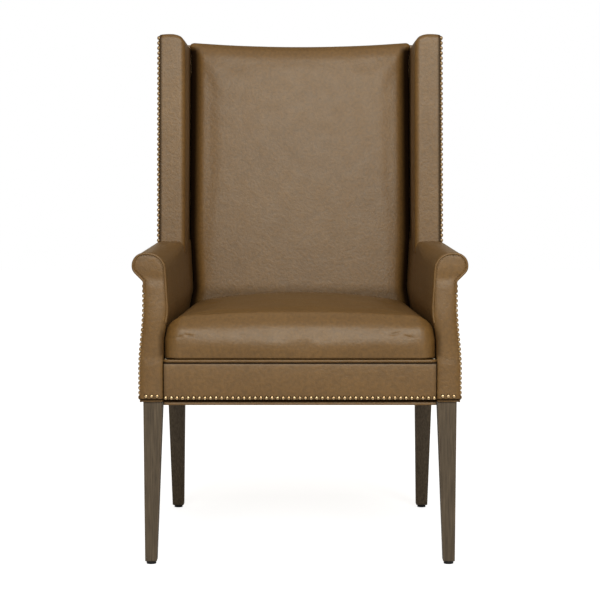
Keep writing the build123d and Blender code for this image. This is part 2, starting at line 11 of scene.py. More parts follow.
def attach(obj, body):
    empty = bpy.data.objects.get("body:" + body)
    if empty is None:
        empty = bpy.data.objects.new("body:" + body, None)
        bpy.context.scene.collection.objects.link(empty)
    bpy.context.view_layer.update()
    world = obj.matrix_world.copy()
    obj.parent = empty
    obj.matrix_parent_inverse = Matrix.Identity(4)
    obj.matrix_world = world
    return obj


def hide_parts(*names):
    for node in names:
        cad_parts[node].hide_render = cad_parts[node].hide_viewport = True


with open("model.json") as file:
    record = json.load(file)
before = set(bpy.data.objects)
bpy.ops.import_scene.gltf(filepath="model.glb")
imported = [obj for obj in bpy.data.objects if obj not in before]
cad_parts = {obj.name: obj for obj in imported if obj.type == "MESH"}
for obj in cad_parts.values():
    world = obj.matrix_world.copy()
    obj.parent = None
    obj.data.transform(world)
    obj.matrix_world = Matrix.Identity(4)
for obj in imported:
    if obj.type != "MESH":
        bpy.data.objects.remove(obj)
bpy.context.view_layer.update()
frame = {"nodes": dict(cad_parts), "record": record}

# Sizes in mm. Depths run back from the front face of the arms, heights run up from the floor and half
# widths run out from the middle, as in the CAD source. The right side is built and the left is its mirror.
MIDDLE_DEPTH = 342.28
HEIGHT = 1122.0
LEG_TOP = 336.0
WELT_Z = 421.0
MIRROR = (-1.0, 1.0, 1.0)

# Arms: a foot, a waist and a roll, turning in and rising towards the back
ARM_TOP = 640.0
ARM_RISE = 14.0
REAR_RISE = 1.5 * ARM_RISE
FOOT_IN = 279.0
FOOT_OUT = 327.0
WAIST_IN = 268.0
WAIST_OUT = 318.0
TURN_LENGTH = 640.0
SIDE_TURN = 9.0 / TURN_LENGTH
SEAT_TURN = 20.0 / TURN_LENGTH
ROLL_OVERHANG = 22.4
ROLL_HEIGHT = 57.7
SHOULDER_LEAN = 7.0
SHOULDER = 35.0
SHOULDER_REAR = 15.0
ARM_FILL = 5.0
ARM_FILL_START = 200.0
SLEEVE_FRONT = 1.6
SLEEVE_EDGE = 2.2
SLEEVE_EDGE_DEPTH = 3.5
PANEL_LAP = 2.5
PANEL_FRONT = 0.4
PANEL_THICKNESS = 4.0

# Arm fronts: a low pillow that stands out at the foot and the middle and is drawn in at the neck
FRONT_INSET = 0.6
FRONT_DEPTH = 1.4
FRONT_REAR = 7.0
FRONT_PILLOW = 2.6
FRONT_LIP = 5.0
BULGE = 5.0
BULGE_Z = 500.0
BULGE_REACH = 56.0
FOOT_BULGE = 2.0
FOOT_BULGE_LOW = 408.0
FOOT_BULGE_HIGH = 430.0
NECK_DENT = 2.4
NECK_Z = 588.0
NECK_REACH = 12.0

# Seat
SEAT_SIDE = 88.0
SEAT_NOSE = 34.0
SEAT_OVERHANG = 5.0
SEAT_BELOW_WELT = 18.0
SEAT_PUFF = 4.0
SEAT_PUFF_HEIGHT = 95.0
SEAT_LEAN = 18.0
SEAT_LEAN_START = 18.0
SEAT_LEAN_HEIGHT = 90.0
SEAT_TUCK_IN = 9.0
RIDGE_RISE = 2.0
RIDGE_DEPTH = 24.0
RIDGE_WIDTH = 9.0
CREASE_DEPTH = 1.5
CREASE_WIDTH = 2.6
# The seat's crown along its middle: (depth, rise over the welt)
SEAT_CROWN = ((-5.0, 94.0), (60.0, 104.0), (160.0, 114.0), (270.0, 118.0), (400.0, 116.0), (534.0, 107.0))
# Small creases where the seat's front corners are pulled tight: (across, height, slope, half length)
SEAT_CREASES = (
    (-228.0, 473.0, -0.15, 9.0),
    (-244.0, 470.0, 0.3, 6.0),
    (196.0, 477.0, 0.2, 14.0),
    (222.0, 470.0, -0.25, 9.0),
)

# Back
BACK_DEPTH = 520.0
BACK_RECLINE = math.radians(7.85)
SEAT_LINE = 104.0
BACK_TOP = 1119.0
BACK_HALF = 258.0
BACK_CROWN = 8.0
BACK_BELLY = 4.0
BACK_SIDE_ROLL = 26.0
BACK_TOP_ROLL = 15.0
BACK_TOP_REACH = 38.0
BACK_SAG = 10.5
BACK_SHOULDER = 4.0
BACK_CLEARANCE = 4.5
OUTSIDE_HALF = 300.0
OUTSIDE_SWELL = 3.0
OUTSIDE_SAG_REACH = 110.0
POST_REAR = 600.0
POST_BEND = 430.0
POST_LEAN = math.radians(6.57)

# Wings
WING_DEPTH = 395.0
WING_RECLINE = math.radians(4.3)
WING_TAPER = math.radians(0.5)
WING_OUT = 320.0
WING_IN = 260.0
WING_LAP = 2.0
WING_SINK = 20.0
WING_SWELL = 4.0
WING_CROWN_HALF = 34.0
WING_DROP_IN = 12.0
WING_DROP_OUT = 5.0

# Front border
BORDER_FOOT = 330.0
BORDER_GROOVE = 338.2
BORDER_GROOVE_DEPTH = 5.0
BORDER_GROOVE_WIDTH = 1.9
BORDER_PILLOW = 2.2
BORDER_PILLOW_FOOT = 340.0
BORDER_PILLOW_HEIGHT = 74.0

# Welts, nails and stitches
WELT_RADIUS = 2.4
SEAT_WELT_RADIUS = 3.1
NAIL_RADIUS = 4.8
NAIL_HEIGHT = 3.8
NAIL_SINK = 0.4
NAIL_PITCH = 11.35
ARM_NAIL_PITCH = 9.9
NAIL_ROW = 9.0
ARM_ROW_LIFT = 3.4
CORNER_TURN = 0.55
# How high the dark band climbs on the nail heads, in mm, and how soft its top is. It is tarnish at the rim
# and painted shade on the domes' sides, and it reaches higher on the front row than on the rubbed side rows.
FRONT_PATINA_AND_SHADE = 3.05
RUBBED_PATINA_AND_SHADE = 1.7
PATINA_AND_SHADE_FADE = 0.8
STITCH_PITCH = 5.6


def to_row(points):
    """Millimetres in (half width, depth, height) to metres in the part's own frame."""
    return (np.asarray(points, dtype=float) - (0.0, MIDDLE_DEPTH, 0.0)) / 1000.0


def from_row(points):
    """Metres in the part's own frame to millimetres in (half width, depth, height)."""
    return np.asarray(points) * 1000.0 + (0.0, MIDDLE_DEPTH, 0.0)


def rear_at(z):
    return POST_REAR + np.maximum(np.asarray(z) - POST_BEND, 0.0) * math.tan(POST_LEAN)


def back_face_at(z):
    return BACK_DEPTH + (np.asarray(z) - WELT_Z - SEAT_LINE) * math.tan(BACK_RECLINE)


def wing_front_at(z):
    return WING_DEPTH + (np.asarray(z) - ARM_TOP) * math.tan(WING_RECLINE)


def wing_outside_at(depth):
    return WING_OUT - (depth - WING_DEPTH) * math.tan(WING_TAPER)


def smooth_step(value, low, high):
    t = np.clip((np.asarray(value, dtype=float) - low) / (high - low), 0.0, 1.0)
    return t * t * (3.0 - 2.0 * t)


def new_object(name, data):
    """A new object that is linked to the scene."""
    made = bpy.data.objects.new(name, data)
    bpy.context.scene.collection.objects.link(made)
    return made


def add_piece(name, points, faces):
    """A smooth mesh piece from points in mm and faces as index lists."""
    mesh = bpy.data.meshes.new(name)
    mesh.from_pydata(to_row(points).tolist(), [], [list(map(int, f)) for f in faces])
    mesh.polygons.foreach_set("use_smooth", [True] * len(mesh.polygons))
    mesh.update()
    return new_object(name, mesh)


def grid_faces(rows, columns, wrap=False):
    """Quads of a grid of points; wrap joins the last column to the first."""
    faces = []
    for r in range(rows - 1):
        for c in range(columns if wrap else columns - 1):
            d = (c + 1) % columns
            faces.append((r * columns + c, r * columns + d, (r + 1) * columns + d, (r + 1) * columns + c))
    return faces


def skin_rings(rings):
    """Points and faces of a skin over closed rings of equal count, with flat ends."""
    count = len(rings[0])
    last = (len(rings) - 1) * count
    faces = grid_faces(len(rings), count, wrap=True)
    faces.append(tuple(reversed(range(count))))
    faces.append(tuple(range(last, last + count)))
    return np.concatenate(rings), faces


def outward(piece):
    """Turns every face of a closed piece outwards."""
    work = bmesh.new()
    work.from_mesh(piece.data)
    bmesh.ops.recalc_face_normals(work, faces=work.faces)
    work.to_mesh(piece.data)
    work.free()
    return piece


def both_sides(name, points, faces):
    """The right-hand piece and its mirror on the left, as a list of (piece, side)."""
    pieces = []
    for side, flip in (("right", (1.0, 1.0, 1.0)), ("left", MIRROR)):
        pieces.append((outward(add_piece(name + "_" + side, np.multiply(points, flip), faces)), side))
    return pieces


def axis_steps(half, radius, bend, flat):
    """Places along one axis of a rounded box, close together over its rounded ends."""
    ends = half - radius + radius * np.tan(np.linspace(0.0, math.pi / 4, bend + 1))[1:]
    middle = np.linspace(radius - half, half - radius, flat + 1)
    return np.concatenate([-ends[::-1], middle, ends])


def rounded_box(half, radius, bend, flat):
    """Points about the origin and quads of a box with rounded edges and corners."""
    steps = [axis_steps(half[a], radius, bend, flat[a]) for a in range(3)]
    sizes = [len(s) for s in steps]
    index = {}
    points = []

    def vertex(key):
        if key not in index:
            index[key] = len(points)
            points.append([steps[a][key[a]] for a in range(3)])
        return index[key]

    faces = []
    for axis in range(3):
        b, c = (axis + 1) % 3, (axis + 2) % 3
        for end in (0, sizes[axis] - 1):
            for i in range(sizes[b] - 1):
                for j in range(sizes[c] - 1):
                    corners = [(i, j), (i + 1, j), (i + 1, j + 1), (i, j + 1)]
                    if end == 0:
                        corners.reverse()
                    quad = []
                    for p, q in corners:
                        key = [0, 0, 0]
                        key[axis], key[b], key[c] = end, p, q
                        quad.append(vertex(tuple(key)))
                    faces.append(quad)
    points = np.array(points)
    core = np.clip(points, radius - np.array(half), np.array(half) - radius)
    away = points - core
    away /= np.linalg.norm(away, axis=1, keepdims=True)
    return core + radius * away, faces


def tube(path, radius, sides=10):
    """Points and faces of a round tube along a path of points in mm."""
    path = np.asarray(path, dtype=float)
    tangents = np.gradient(path, axis=0)
    tangents /= np.linalg.norm(tangents, axis=1, keepdims=True)
    spread = np.cross(tangents[0], (0.0, 1.0, 0.0))
    angles = np.linspace(0.0, 2 * math.pi, sides, endpoint=False)
    rings = []
    for at, along in zip(path, tangents):
        spread = spread - along * np.dot(spread, along)
        spread /= np.linalg.norm(spread)
        across = np.cross(along, spread)
        rings.append(at + radius * (np.outer(np.cos(angles), spread) + np.outer(np.sin(angles), across)))
    return skin_rings(rings)


def relaxed(points, faces, weight, passes):
    """Points drawn towards the middle of their neighbours, so that flats run into rounds without a line."""
    pairs = np.array([(f[i - 1], f[i]) for f in faces for i in range(len(f))])
    pairs = np.unique(np.sort(pairs, axis=1), axis=0)
    count = np.bincount(pairs.ravel(), minlength=len(points))[:, None]
    for _ in range(passes):
        total = np.zeros_like(points)
        np.add.at(total, pairs[:, 0], points[pairs[:, 1]])
        np.add.at(total, pairs[:, 1], points[pairs[:, 0]])
        points = points + 0.5 * weight[:, None] * (total / count - points)
    return points


def arm_corners(shoulder_radius):
    """Corner points and radii of the scroll-shaped arm section, in (half width, height)."""
    height = ARM_TOP - LEG_TOP
    neck = ARM_TOP - ROLL_HEIGHT
    roll_radius = 0.72 * (ROLL_HEIGHT - ROLL_OVERHANG)
    under_radius = (ROLL_HEIGHT - ROLL_OVERHANG - roll_radius - 1.0) / math.tan(math.radians(22.5))
    points = [
        (FOOT_OUT, LEG_TOP),
        (FOOT_OUT, LEG_TOP + 0.29 * height),
        (WAIST_OUT, LEG_TOP + 0.587 * height),
        (WAIST_OUT, neck),
        (WAIST_OUT + ROLL_OVERHANG, neck + ROLL_OVERHANG),
        (WAIST_OUT + ROLL_OVERHANG, ARM_TOP),
        (WAIST_IN + SHOULDER_LEAN, ARM_TOP),
        (WAIST_IN, LEG_TOP + 0.603 * height),
        (FOOT_IN, LEG_TOP + 0.413 * height),
        (FOOT_IN, LEG_TOP),
    ]
    runs = {1: 0.33, 2: 0.33, 7: 0.24, 8: 0.24}
    radii = [4.0, 0.0, 0.0, 8.0, under_radius, roll_radius, shoulder_radius, 0.0, 0.0, 4.0]
    for i, share in runs.items():
        first, second = (1, 2) if i < 3 else (7, 8)
        run = share * math.dist(points[first], points[second])
        before = np.subtract(points[i], points[i - 1])
        after = np.subtract(points[i + 1], points[i])
        cosine = np.dot(before, after) / np.linalg.norm(before) / np.linalg.norm(after)
        radii[i] = run / math.tan(math.acos(cosine) / 2)
    return np.array(points), radii


def inset_corners(points, radii, inset):
    """The same outline drawn in: sides move inwards, outer corners tighten and hollow ones open."""
    count = len(points)
    moved = []
    new_radii = []
    for i in range(count):
        before = points[i] - points[i - 1]
        after = points[(i + 1) % count] - points[i]
        before = before / np.linalg.norm(before)
        after = after / np.linalg.norm(after)
        cross = before[0] * after[1] - before[1] * after[0]
        first = points[i] + inset * np.array((-before[1], before[0]))
        second = points[i] + inset * np.array((-after[1], after[0]))
        gap = second - first
        moved.append(first + before * (gap[0] * after[1] - gap[1] * after[0]) / cross)
        new_radii.append(max(0.01, radii[i] - inset if cross > 0 else radii[i] + inset))
    return np.array(moved), new_radii


def round_corners(points, radii, arc_steps=9, line_steps=8, closed=True):
    """A polyline with each corner rounded, with the same count of points for any radii."""
    count = len(points)
    sampled = []
    for i in range(count):
        if not closed and i in (0, count - 1):
            sampled.append(points[i][None])
            continue
        before = points[i] - points[i - 1]
        after = points[(i + 1) % count] - points[i]
        before = before / np.linalg.norm(before)
        after = after / np.linalg.norm(after)
        turn = math.acos(np.clip(np.dot(before, after), -1.0, 1.0))
        side = math.copysign(1.0, before[0] * after[1] - before[1] * after[0])
        normal = side * np.array((-before[1], before[0]))
        start = points[i] - before * radii[i] * math.tan(turn / 2)
        centre = start + normal * radii[i]
        angles = np.linspace(0.0, turn, arc_steps)
        arc = np.outer(np.sin(angles), before) - np.outer(np.cos(angles), normal)
        sampled.append(centre + radii[i] * arc)
    result = []
    for i in range(count if closed else count - 1):
        result.append(sampled[i])
        shares = np.linspace(0.0, 1.0, line_steps + 1)[1:-1, None]
        start, end = sampled[i][-1], sampled[(i + 1) % count][0]
        result.append(start + (end - start) * shares)
    if not closed:
        result.append(sampled[-1])
    return np.concatenate(result)


def arm_place(section, depth):
    """Section points in (half width, height) set at one depth: turned in and rising towards the back."""
    section = np.asarray(section, dtype=float)
    depth = np.broadcast_to(depth, len(section))
    rise = ARM_RISE * depth / WING_DEPTH * np.clip((section[:, 1] - LEG_TOP) / 70.0, 0.0, 1.0)
    outside = smooth_step(section[:, 0], FOOT_IN + 4.0, FOOT_OUT - 12.0)
    turn = SEAT_TURN + (SIDE_TURN - SEAT_TURN) * outside
    return np.column_stack([section[:, 0] - turn * depth, depth, section[:, 1] + rise])


def arm_inside_at(depth, z):
    """Half width of the inside arm at a depth and a height."""
    section = arm_corners(20.0)[0]
    heights = section[[9, 8, 7, 6], 1]
    widths = section[[9, 8, 7, 6], 0]
    rise = ARM_RISE * np.asarray(depth) / WING_DEPTH
    return np.interp(np.asarray(z) - rise, heights, widths) - SEAT_TURN * np.asarray(depth)


def arm_fill_at(depth):
    """How much fuller the waist grows towards the back, where it goes round the arm rail."""
    return ARM_FILL * float(smooth_step(depth, ARM_FILL_START, POST_REAR))


def make_arm():
    """The padded arm: one sleeve from front to back, with a softer shoulder at the front."""
    rounded_edge = np.array([0.0, 0.5, 1.6, SLEEVE_EDGE_DEPTH, 7.0])
    stations = np.concatenate([rounded_edge, np.linspace(14.0, POST_REAR, 50)]) / POST_REAR
    rings = []
    for station in stations:
        depth = POST_REAR * station
        shoulder = SHOULDER + (SHOULDER_REAR - SHOULDER) * float(smooth_step(depth, 150.0, 400.0))
        drawn_in = SLEEVE_EDGE * (1.0 - min(1.0, depth / SLEEVE_EDGE_DEPTH)) ** 2
        points, radii = inset_corners(*arm_corners(shoulder), drawn_in)
        points[0:4, 0] -= PANEL_LAP
        points[2:4, 0] += arm_fill_at(depth)
        section = round_corners(points, radii)
        end = rear_at(section[:, 1])
        rings.append(arm_place(section, SLEEVE_FRONT + station * (end - SLEEVE_FRONT)))
    return skin_rings(rings)


def make_outside_arm():
    """The tight outside arm panel, from the foot to the hollow under the roll."""
    points, radii = arm_corners(SHOULDER)
    turned_edge = 0.012
    shares = np.concatenate([np.array([0.0, 0.002, 0.006, turned_edge]), np.linspace(0.03, 1.0, 46)])
    rings = []
    for share in shares:
        tuck = 2.0 * (1.0 - min(1.0, share / turned_edge)) ** 2
        path = points[0:4].copy()
        path[2:4, 0] += arm_fill_at(POST_REAR * share)
        line = round_corners(path, [0.0, radii[1], radii[2], 0.0], 11, 12, closed=False)
        outer = line - np.array((tuck, 0.0))
        inner = line[::-1] - np.array((PANEL_THICKNESS, 0.0))
        section = np.concatenate([outer, inner])
        end = rear_at(section[:, 1])
        rings.append(arm_place(section, PANEL_FRONT + share * (end - PANEL_FRONT)))
    return skin_rings(rings)


def edge_at(z, inset=0.0):
    """Inner and outer half widths of the arm front at heights z."""
    points, radii = inset_corners(*arm_corners(SHOULDER), inset)
    closed = round_corners(points, radii, 24, 12)
    middle = WAIST_IN + SHOULDER_LEAN + 39.0
    outer = closed[closed[:, 0] >= middle]
    inner = closed[closed[:, 0] <= middle + 2.0]
    outer = outer[np.argsort(outer[:, 1])]
    inner = inner[np.argsort(inner[:, 1])]
    return np.interp(z, inner[:, 1], inner[:, 0]), np.interp(z, outer[:, 1], outer[:, 0])


def front_bulge_at(z):
    """How far the arm front stands out at a height, besides its pillow."""
    bulge = BULGE * math.exp(-(((z - BULGE_Z) / BULGE_REACH) ** 2))
    foot = FOOT_BULGE * float(smooth_step(-z, -FOOT_BULGE_HIGH, -FOOT_BULGE_LOW))
    return bulge + foot - NECK_DENT * math.exp(-(((z - NECK_Z) / NECK_REACH) ** 2))


def make_arm_front():
    """The front panel of the arm, drawn tight with a low pillow inside its piped edge."""
    low, high = LEG_TOP + FRONT_INSET, ARM_TOP - FRONT_INSET
    t = np.linspace(0.0, 1.0, 170)
    z = low + (high - low) * (0.5 - 0.5 * np.cos(math.pi * t)) * 0.35 + (high - low) * t * 0.65
    inner, outer = edge_at(z, FRONT_INSET)
    width = np.maximum(outer - inner, 1.0)
    columns = np.concatenate(
        [np.linspace(0.0, 0.22, 18), np.linspace(0.25, 0.75, 14), np.linspace(0.78, 1.0, 18)]
    )
    front = []
    for k in range(len(z)):
        x = inner[k] + width[k] * columns
        edge = np.minimum(np.minimum(x - inner[k], outer[k] - x), np.minimum(high - z[k], z[k] - low))
        pillow = FRONT_PILLOW * (1.0 - np.exp(-edge / 5.0))
        pillow = pillow + front_bulge_at(z[k]) * (1.0 - np.exp(-edge / 9.0))
        lip = FRONT_LIP * (1.0 - smooth_step(z[k], low, low + 4.6))
        front.append(np.column_stack([x, FRONT_DEPTH - pillow + lip, np.full(len(x), z[k])]))
    rows, cols = len(z), len(columns)
    points = np.concatenate(front)
    back = points.copy()
    back[:, 1] = FRONT_REAR
    count = len(points)
    faces = grid_faces(rows, cols)
    faces += [tuple(i + count for i in reversed(f)) for f in grid_faces(rows, cols)]
    rim = list(range(cols))
    rim += [r * cols + cols - 1 for r in range(1, rows)]
    rim += [(rows - 1) * cols + c for c in range(cols - 2, -1, -1)]
    rim += [r * cols for r in range(rows - 2, 0, -1)]
    for i, a in enumerate(rim):
        b = rim[(i + 1) % len(rim)]
        faces.append((a, a + count, b + count, b))
    return np.concatenate([points, back]), faces


def arm_edge_path(inset, depth, start_below=24.0, end_share=0.36):
    """A line around the arm front, from under the roll, over the top and down the inside to the seat."""
    points, radii = inset_corners(*arm_corners(SHOULDER), inset)
    start = points[3] - np.array((0.0, start_below))
    end = points[7] + (points[8] - points[7]) * end_share
    path = np.concatenate([[start], points[3:8], [end]])
    line = round_corners(path, [0.0, *radii[3:8], 0.0], 12, 14, closed=False)
    return np.column_stack([line[:, 0], np.full(len(line), depth), line[:, 1]])


def seat_crease_at(x, height):
    """How deep in a crease each point of the seat's front lies, from 0 to 1."""
    crease = np.zeros(len(x))
    for x0, z0, slope, reach in SEAT_CREASES:
        line = z0 + slope * (x - x0) + 0.012 * (x - x0) ** 2
        crease += np.exp(-(((height - line) / CREASE_WIDTH) ** 2) - ((x - x0) / reach) ** 2)
    return crease


def make_seat():
    """The tight seat: crowned, with a full rounded front, soft corners and sides that follow the arms."""
    half = (278.0, 268.0, 68.0)
    box, faces = rounded_box(half, SEAT_NOSE, 13, (150, 64, 32))
    x, y, z = box.T
    depth = y + half[1] - SEAT_OVERHANG
    share = (z + half[2]) / (2 * half[2])
    along = np.interp(depth, *zip(*SEAT_CROWN))
    across = np.abs(x) / half[0]
    top = WELT_Z + along + (SEAT_SIDE - along) * across**2.2
    bottom = WELT_Z - SEAT_BELOW_WELT
    height = bottom + share * (top - bottom)
    ridge = np.exp(-(((depth - RIDGE_DEPTH) / RIDGE_WIDTH) ** 2))
    height = height + RIDGE_RISE * ridge * smooth_step(share, 0.8, 1.0)
    inside = arm_inside_at(depth, height) - 1.0
    nose = smooth_step(-depth, -30.0, 5.0)
    puff = SEAT_PUFF * np.sin(math.pi * np.clip((height - WELT_Z) / SEAT_PUFF_HEIGHT, 0.0, 1.0)) * nose
    lean = np.clip((height - WELT_Z - SEAT_LEAN_START) / SEAT_LEAN_HEIGHT, 0.0, 1.0) ** 2
    puff = puff - SEAT_LEAN * lean * nose
    tucked = SEAT_TUCK_IN * smooth_step(-height, -WELT_Z - 7.0, -WELT_Z + 1.0) * nose
    dent = CREASE_DEPTH * seat_crease_at(x, height) * smooth_step(-depth, -14.0, 0.0)
    points = np.column_stack([x / half[0] * inside, depth - puff + tucked, height])
    soft = smooth_step(-depth, -90.0, -60.0) * smooth_step(height, WELT_Z + 12.0, WELT_Z + 26.0)
    points = relaxed(points, faces, soft * smooth_step(half[0] - np.abs(x), 3.0, 16.0), 12)
    points[:, 1] += dent
    return points, faces


def make_back():
    """The tight inside back: a low crown, rolled sides and a soft top roll that sinks in the middle."""
    tall = (BACK_TOP - WELT_Z) / math.cos(BACK_RECLINE)
    half = (BACK_HALF, 34.0, tall / 2)
    box, faces = rounded_box(half, 12.0, 6, (72, 6, 84))
    x, y, z = box.T
    up = z + half[2] - SEAT_LINE / math.cos(BACK_RECLINE)
    share = (y + half[1]) / (2 * half[1])
    across = x / half[0]
    rise = (z + half[2]) / tall
    crown = BACK_CROWN * (1.0 - across**2) + BACK_BELLY * np.sin(math.pi * rise)
    at_side = smooth_step(np.abs(x), half[0] - 36.0, half[0] + 6.0) ** 1.6
    side_roll = BACK_SIDE_ROLL * at_side * smooth_step(-rise, -0.995, -0.95)
    at_top = np.clip((z - half[2] + BACK_TOP_REACH) / BACK_TOP_REACH, 0.0, 1.0)
    top_roll = BACK_TOP_ROLL * at_top**2
    level = WELT_Z + SEAT_LINE + up * math.cos(BACK_RECLINE)
    thick = rear_at(level) - BACK_CLEARANCE - back_face_at(level)
    y = share * thick + (side_roll + top_roll - crown) * (1.0 - share)
    up = up - BACK_SAG * (1.0 - across**2) * smooth_step(rise, 0.85, 1.0)
    tilt = math.sin(BACK_RECLINE) * smooth_step(-rise, -1.0, -0.8)
    depth = BACK_DEPTH + y * math.cos(BACK_RECLINE) + up * math.sin(BACK_RECLINE)
    height = WELT_Z + SEAT_LINE + up * math.cos(BACK_RECLINE) - y * tilt
    beside = np.minimum(half[0], arm_inside_at(depth, height) - 1.0)
    narrow = half[0] + (beside - half[0]) * smooth_step(-height, -ARM_TOP - 40.0, -ARM_TOP + 20.0)
    shoulder = BACK_SHOULDER * across**9 * smooth_step(rise, 0.96, 1.0)
    return np.column_stack([across * narrow + shoulder, depth, height]), faces


def make_wing():
    """The padded wing: a flat front edge, a rounded inner corner and a domed top."""
    half = (29.0, 135.0, 250.0)
    box, faces = rounded_box(half, 11.0, 7, (12, 40, 60))
    x, y, z = box.T
    rise = (z + half[2]) / (2 * half[2])
    share = (y + half[1]) / (2 * half[1])
    low = ARM_TOP - WING_SINK
    height = low + rise * (HEIGHT - low)
    front = wing_front_at(height)
    depth = front + share * (rear_at(height) - front)
    inner = smooth_step(-x, half[0] - 20.0, half[0])
    swell = WING_SWELL * np.sin(math.pi * np.clip(share / 0.62, 0.0, 1.0)) * np.sin(math.pi * rise) ** 0.4
    across = np.minimum(WING_IN + (x + half[0]) * 1.13 - swell * inner, wing_outside_at(depth) - WING_LAP)
    aside = (across - WING_IN - WING_CROWN_HALF) / WING_CROWN_HALF
    drop = np.where(aside < 0.0, WING_DROP_IN, WING_DROP_OUT)
    dome = drop * np.abs(aside) ** 2.4 * smooth_step(rise, 0.88, 1.0)
    return np.column_stack([across, depth, height - dome]), faces


def make_outside_wing():
    """The tight outside wing panel, whose front edge laps the padded wing under the nails."""
    half = (2.5, 133.0, 241.0)
    box, faces = rounded_box(half, 2.4, 4, (1, 40, 60))
    x, y, z = box.T
    rise = (z + half[2]) / (2 * half[2])
    share = (y + half[1]) / (2 * half[1])
    low = ARM_TOP + 10.0
    height = low + rise * (HEIGHT - 5.0 - low)
    front = wing_front_at(height) + 1.5
    depth = front + share * (rear_at(height) - front)
    return np.column_stack([wing_outside_at(depth) + x - half[0], depth, height]), faces


def make_border():
    """The front border: leather drawn over a thin pad, with a groove under its row of nails."""
    half = (FOOT_IN - 0.6, 7.0, 44.2)
    box, faces = rounded_box(half, 2.0, 4, (90, 2, 90))
    x, y, z = box.T
    height = z + half[2] + BORDER_FOOT
    front = 1.0 - (y + half[1]) / (2 * half[1])
    on_pad = np.clip((height - BORDER_PILLOW_FOOT) / BORDER_PILLOW_HEIGHT, 0.0, 1.0)
    pillow = BORDER_PILLOW * np.sin(math.pi * on_pad) ** 0.4
    groove = BORDER_GROOVE_DEPTH * np.exp(-(((height - BORDER_GROOVE) / BORDER_GROOVE_WIDTH) ** 2))
    return np.column_stack([x, y + half[1] + (groove - pillow) * front, height]), faces


def outside_half_at(z):
    """Half width of the outside back at a height: the arms' outside below and the wings' above."""
    points, radii = arm_corners(12.0)
    section = round_corners(points, radii, 12, 10)
    outer = section[section[:, 0] > OUTSIDE_HALF]
    outer = outer[np.argsort(outer[:, 1])]
    raised = outer[:, 1] + REAR_RISE * (outer[:, 1] - LEG_TOP) / (ARM_TOP - LEG_TOP)
    arm = np.interp(z, raised, outer[:, 0]) - SIDE_TURN * rear_at(z)
    return np.where(z > ARM_TOP + REAR_RISE, wing_outside_at(rear_at(z)), np.maximum(arm, OUTSIDE_HALF))


def make_outside_back():
    """The tight outside back panel with a turned edge all round."""
    half = (OUTSIDE_HALF, 3.0, 391.0)
    box, faces = rounded_box(half, 2.9, 4, (60, 1, 150))
    x, y, z = box.T
    height = z + half[2] + LEG_TOP
    wide = outside_half_at(height)
    across = np.minimum(np.abs(x) / half[0] * wide / BACK_HALF, 1.0)
    height = height - BACK_SAG * (1.0 - across**2) * smooth_step(z, half[2] - OUTSIDE_SAG_REACH, half[2])
    swell = OUTSIDE_SWELL * (1.0 - (x / half[0]) ** 2) * np.sin(math.pi * (z + half[2]) / (2 * half[2]))
    depth = rear_at(height) - 1.0 + (y + half[1]) * 0.6 + swell * (y + half[1]) / (2 * half[1])
    return np.column_stack([x / half[0] * wide, depth, height]), faces


# Materials: every colour is written as sRGB hex and turned to linear light in one place
def colour(code):
    values = [int(code[i:i + 2], 16) / 255 for i in (0, 2, 4)]
    return (*[v / 12.92 if v <= 0.04045 else ((v + 0.055) / 1.055) ** 2.4 for v in values], 1.0)


def per_metre(size):
    """How often a size in mm goes into a metre, which is a texture's scale on object coordinates."""
    return 1000.0 / size


def add_node(tree, kind, inputs=None, ramp=(), **settings):
    """Adds one node with its settings and links.

    Inputs are values or output sockets, by socket name or place. A ramp is given as (position, colour) stops.
    """
    added = tree.nodes.new(kind)
    for key, value in settings.items():
        setattr(added, key, value)
    for place, (position, tone) in enumerate(ramp):
        added.color_ramp.elements[place].position = position
        added.color_ramp.elements[place].color = tone
    for key, value in (inputs or {}).items():
        if isinstance(value, bpy.types.NodeSocket):
            tree.links.new(value, added.inputs[key])
        else:
            added.inputs[key].default_value = value
    return added


def new_material(name, shader_values):
    """An empty procedural material: its tree, its shader and the object coordinates in metres."""
    material = bpy.data.materials.new(name)
    material.use_nodes = True
    tree = material.node_tree
    tree.nodes.clear()
    shader = add_node(tree, "ShaderNodeBsdfPrincipled", shader_values)
    add_node(tree, "ShaderNodeOutputMaterial", {"Surface": shader.outputs[0]})
    coordinates = add_node(tree, "ShaderNodeTexCoord")
    return material, tree, shader, coordinates.outputs["Object"]


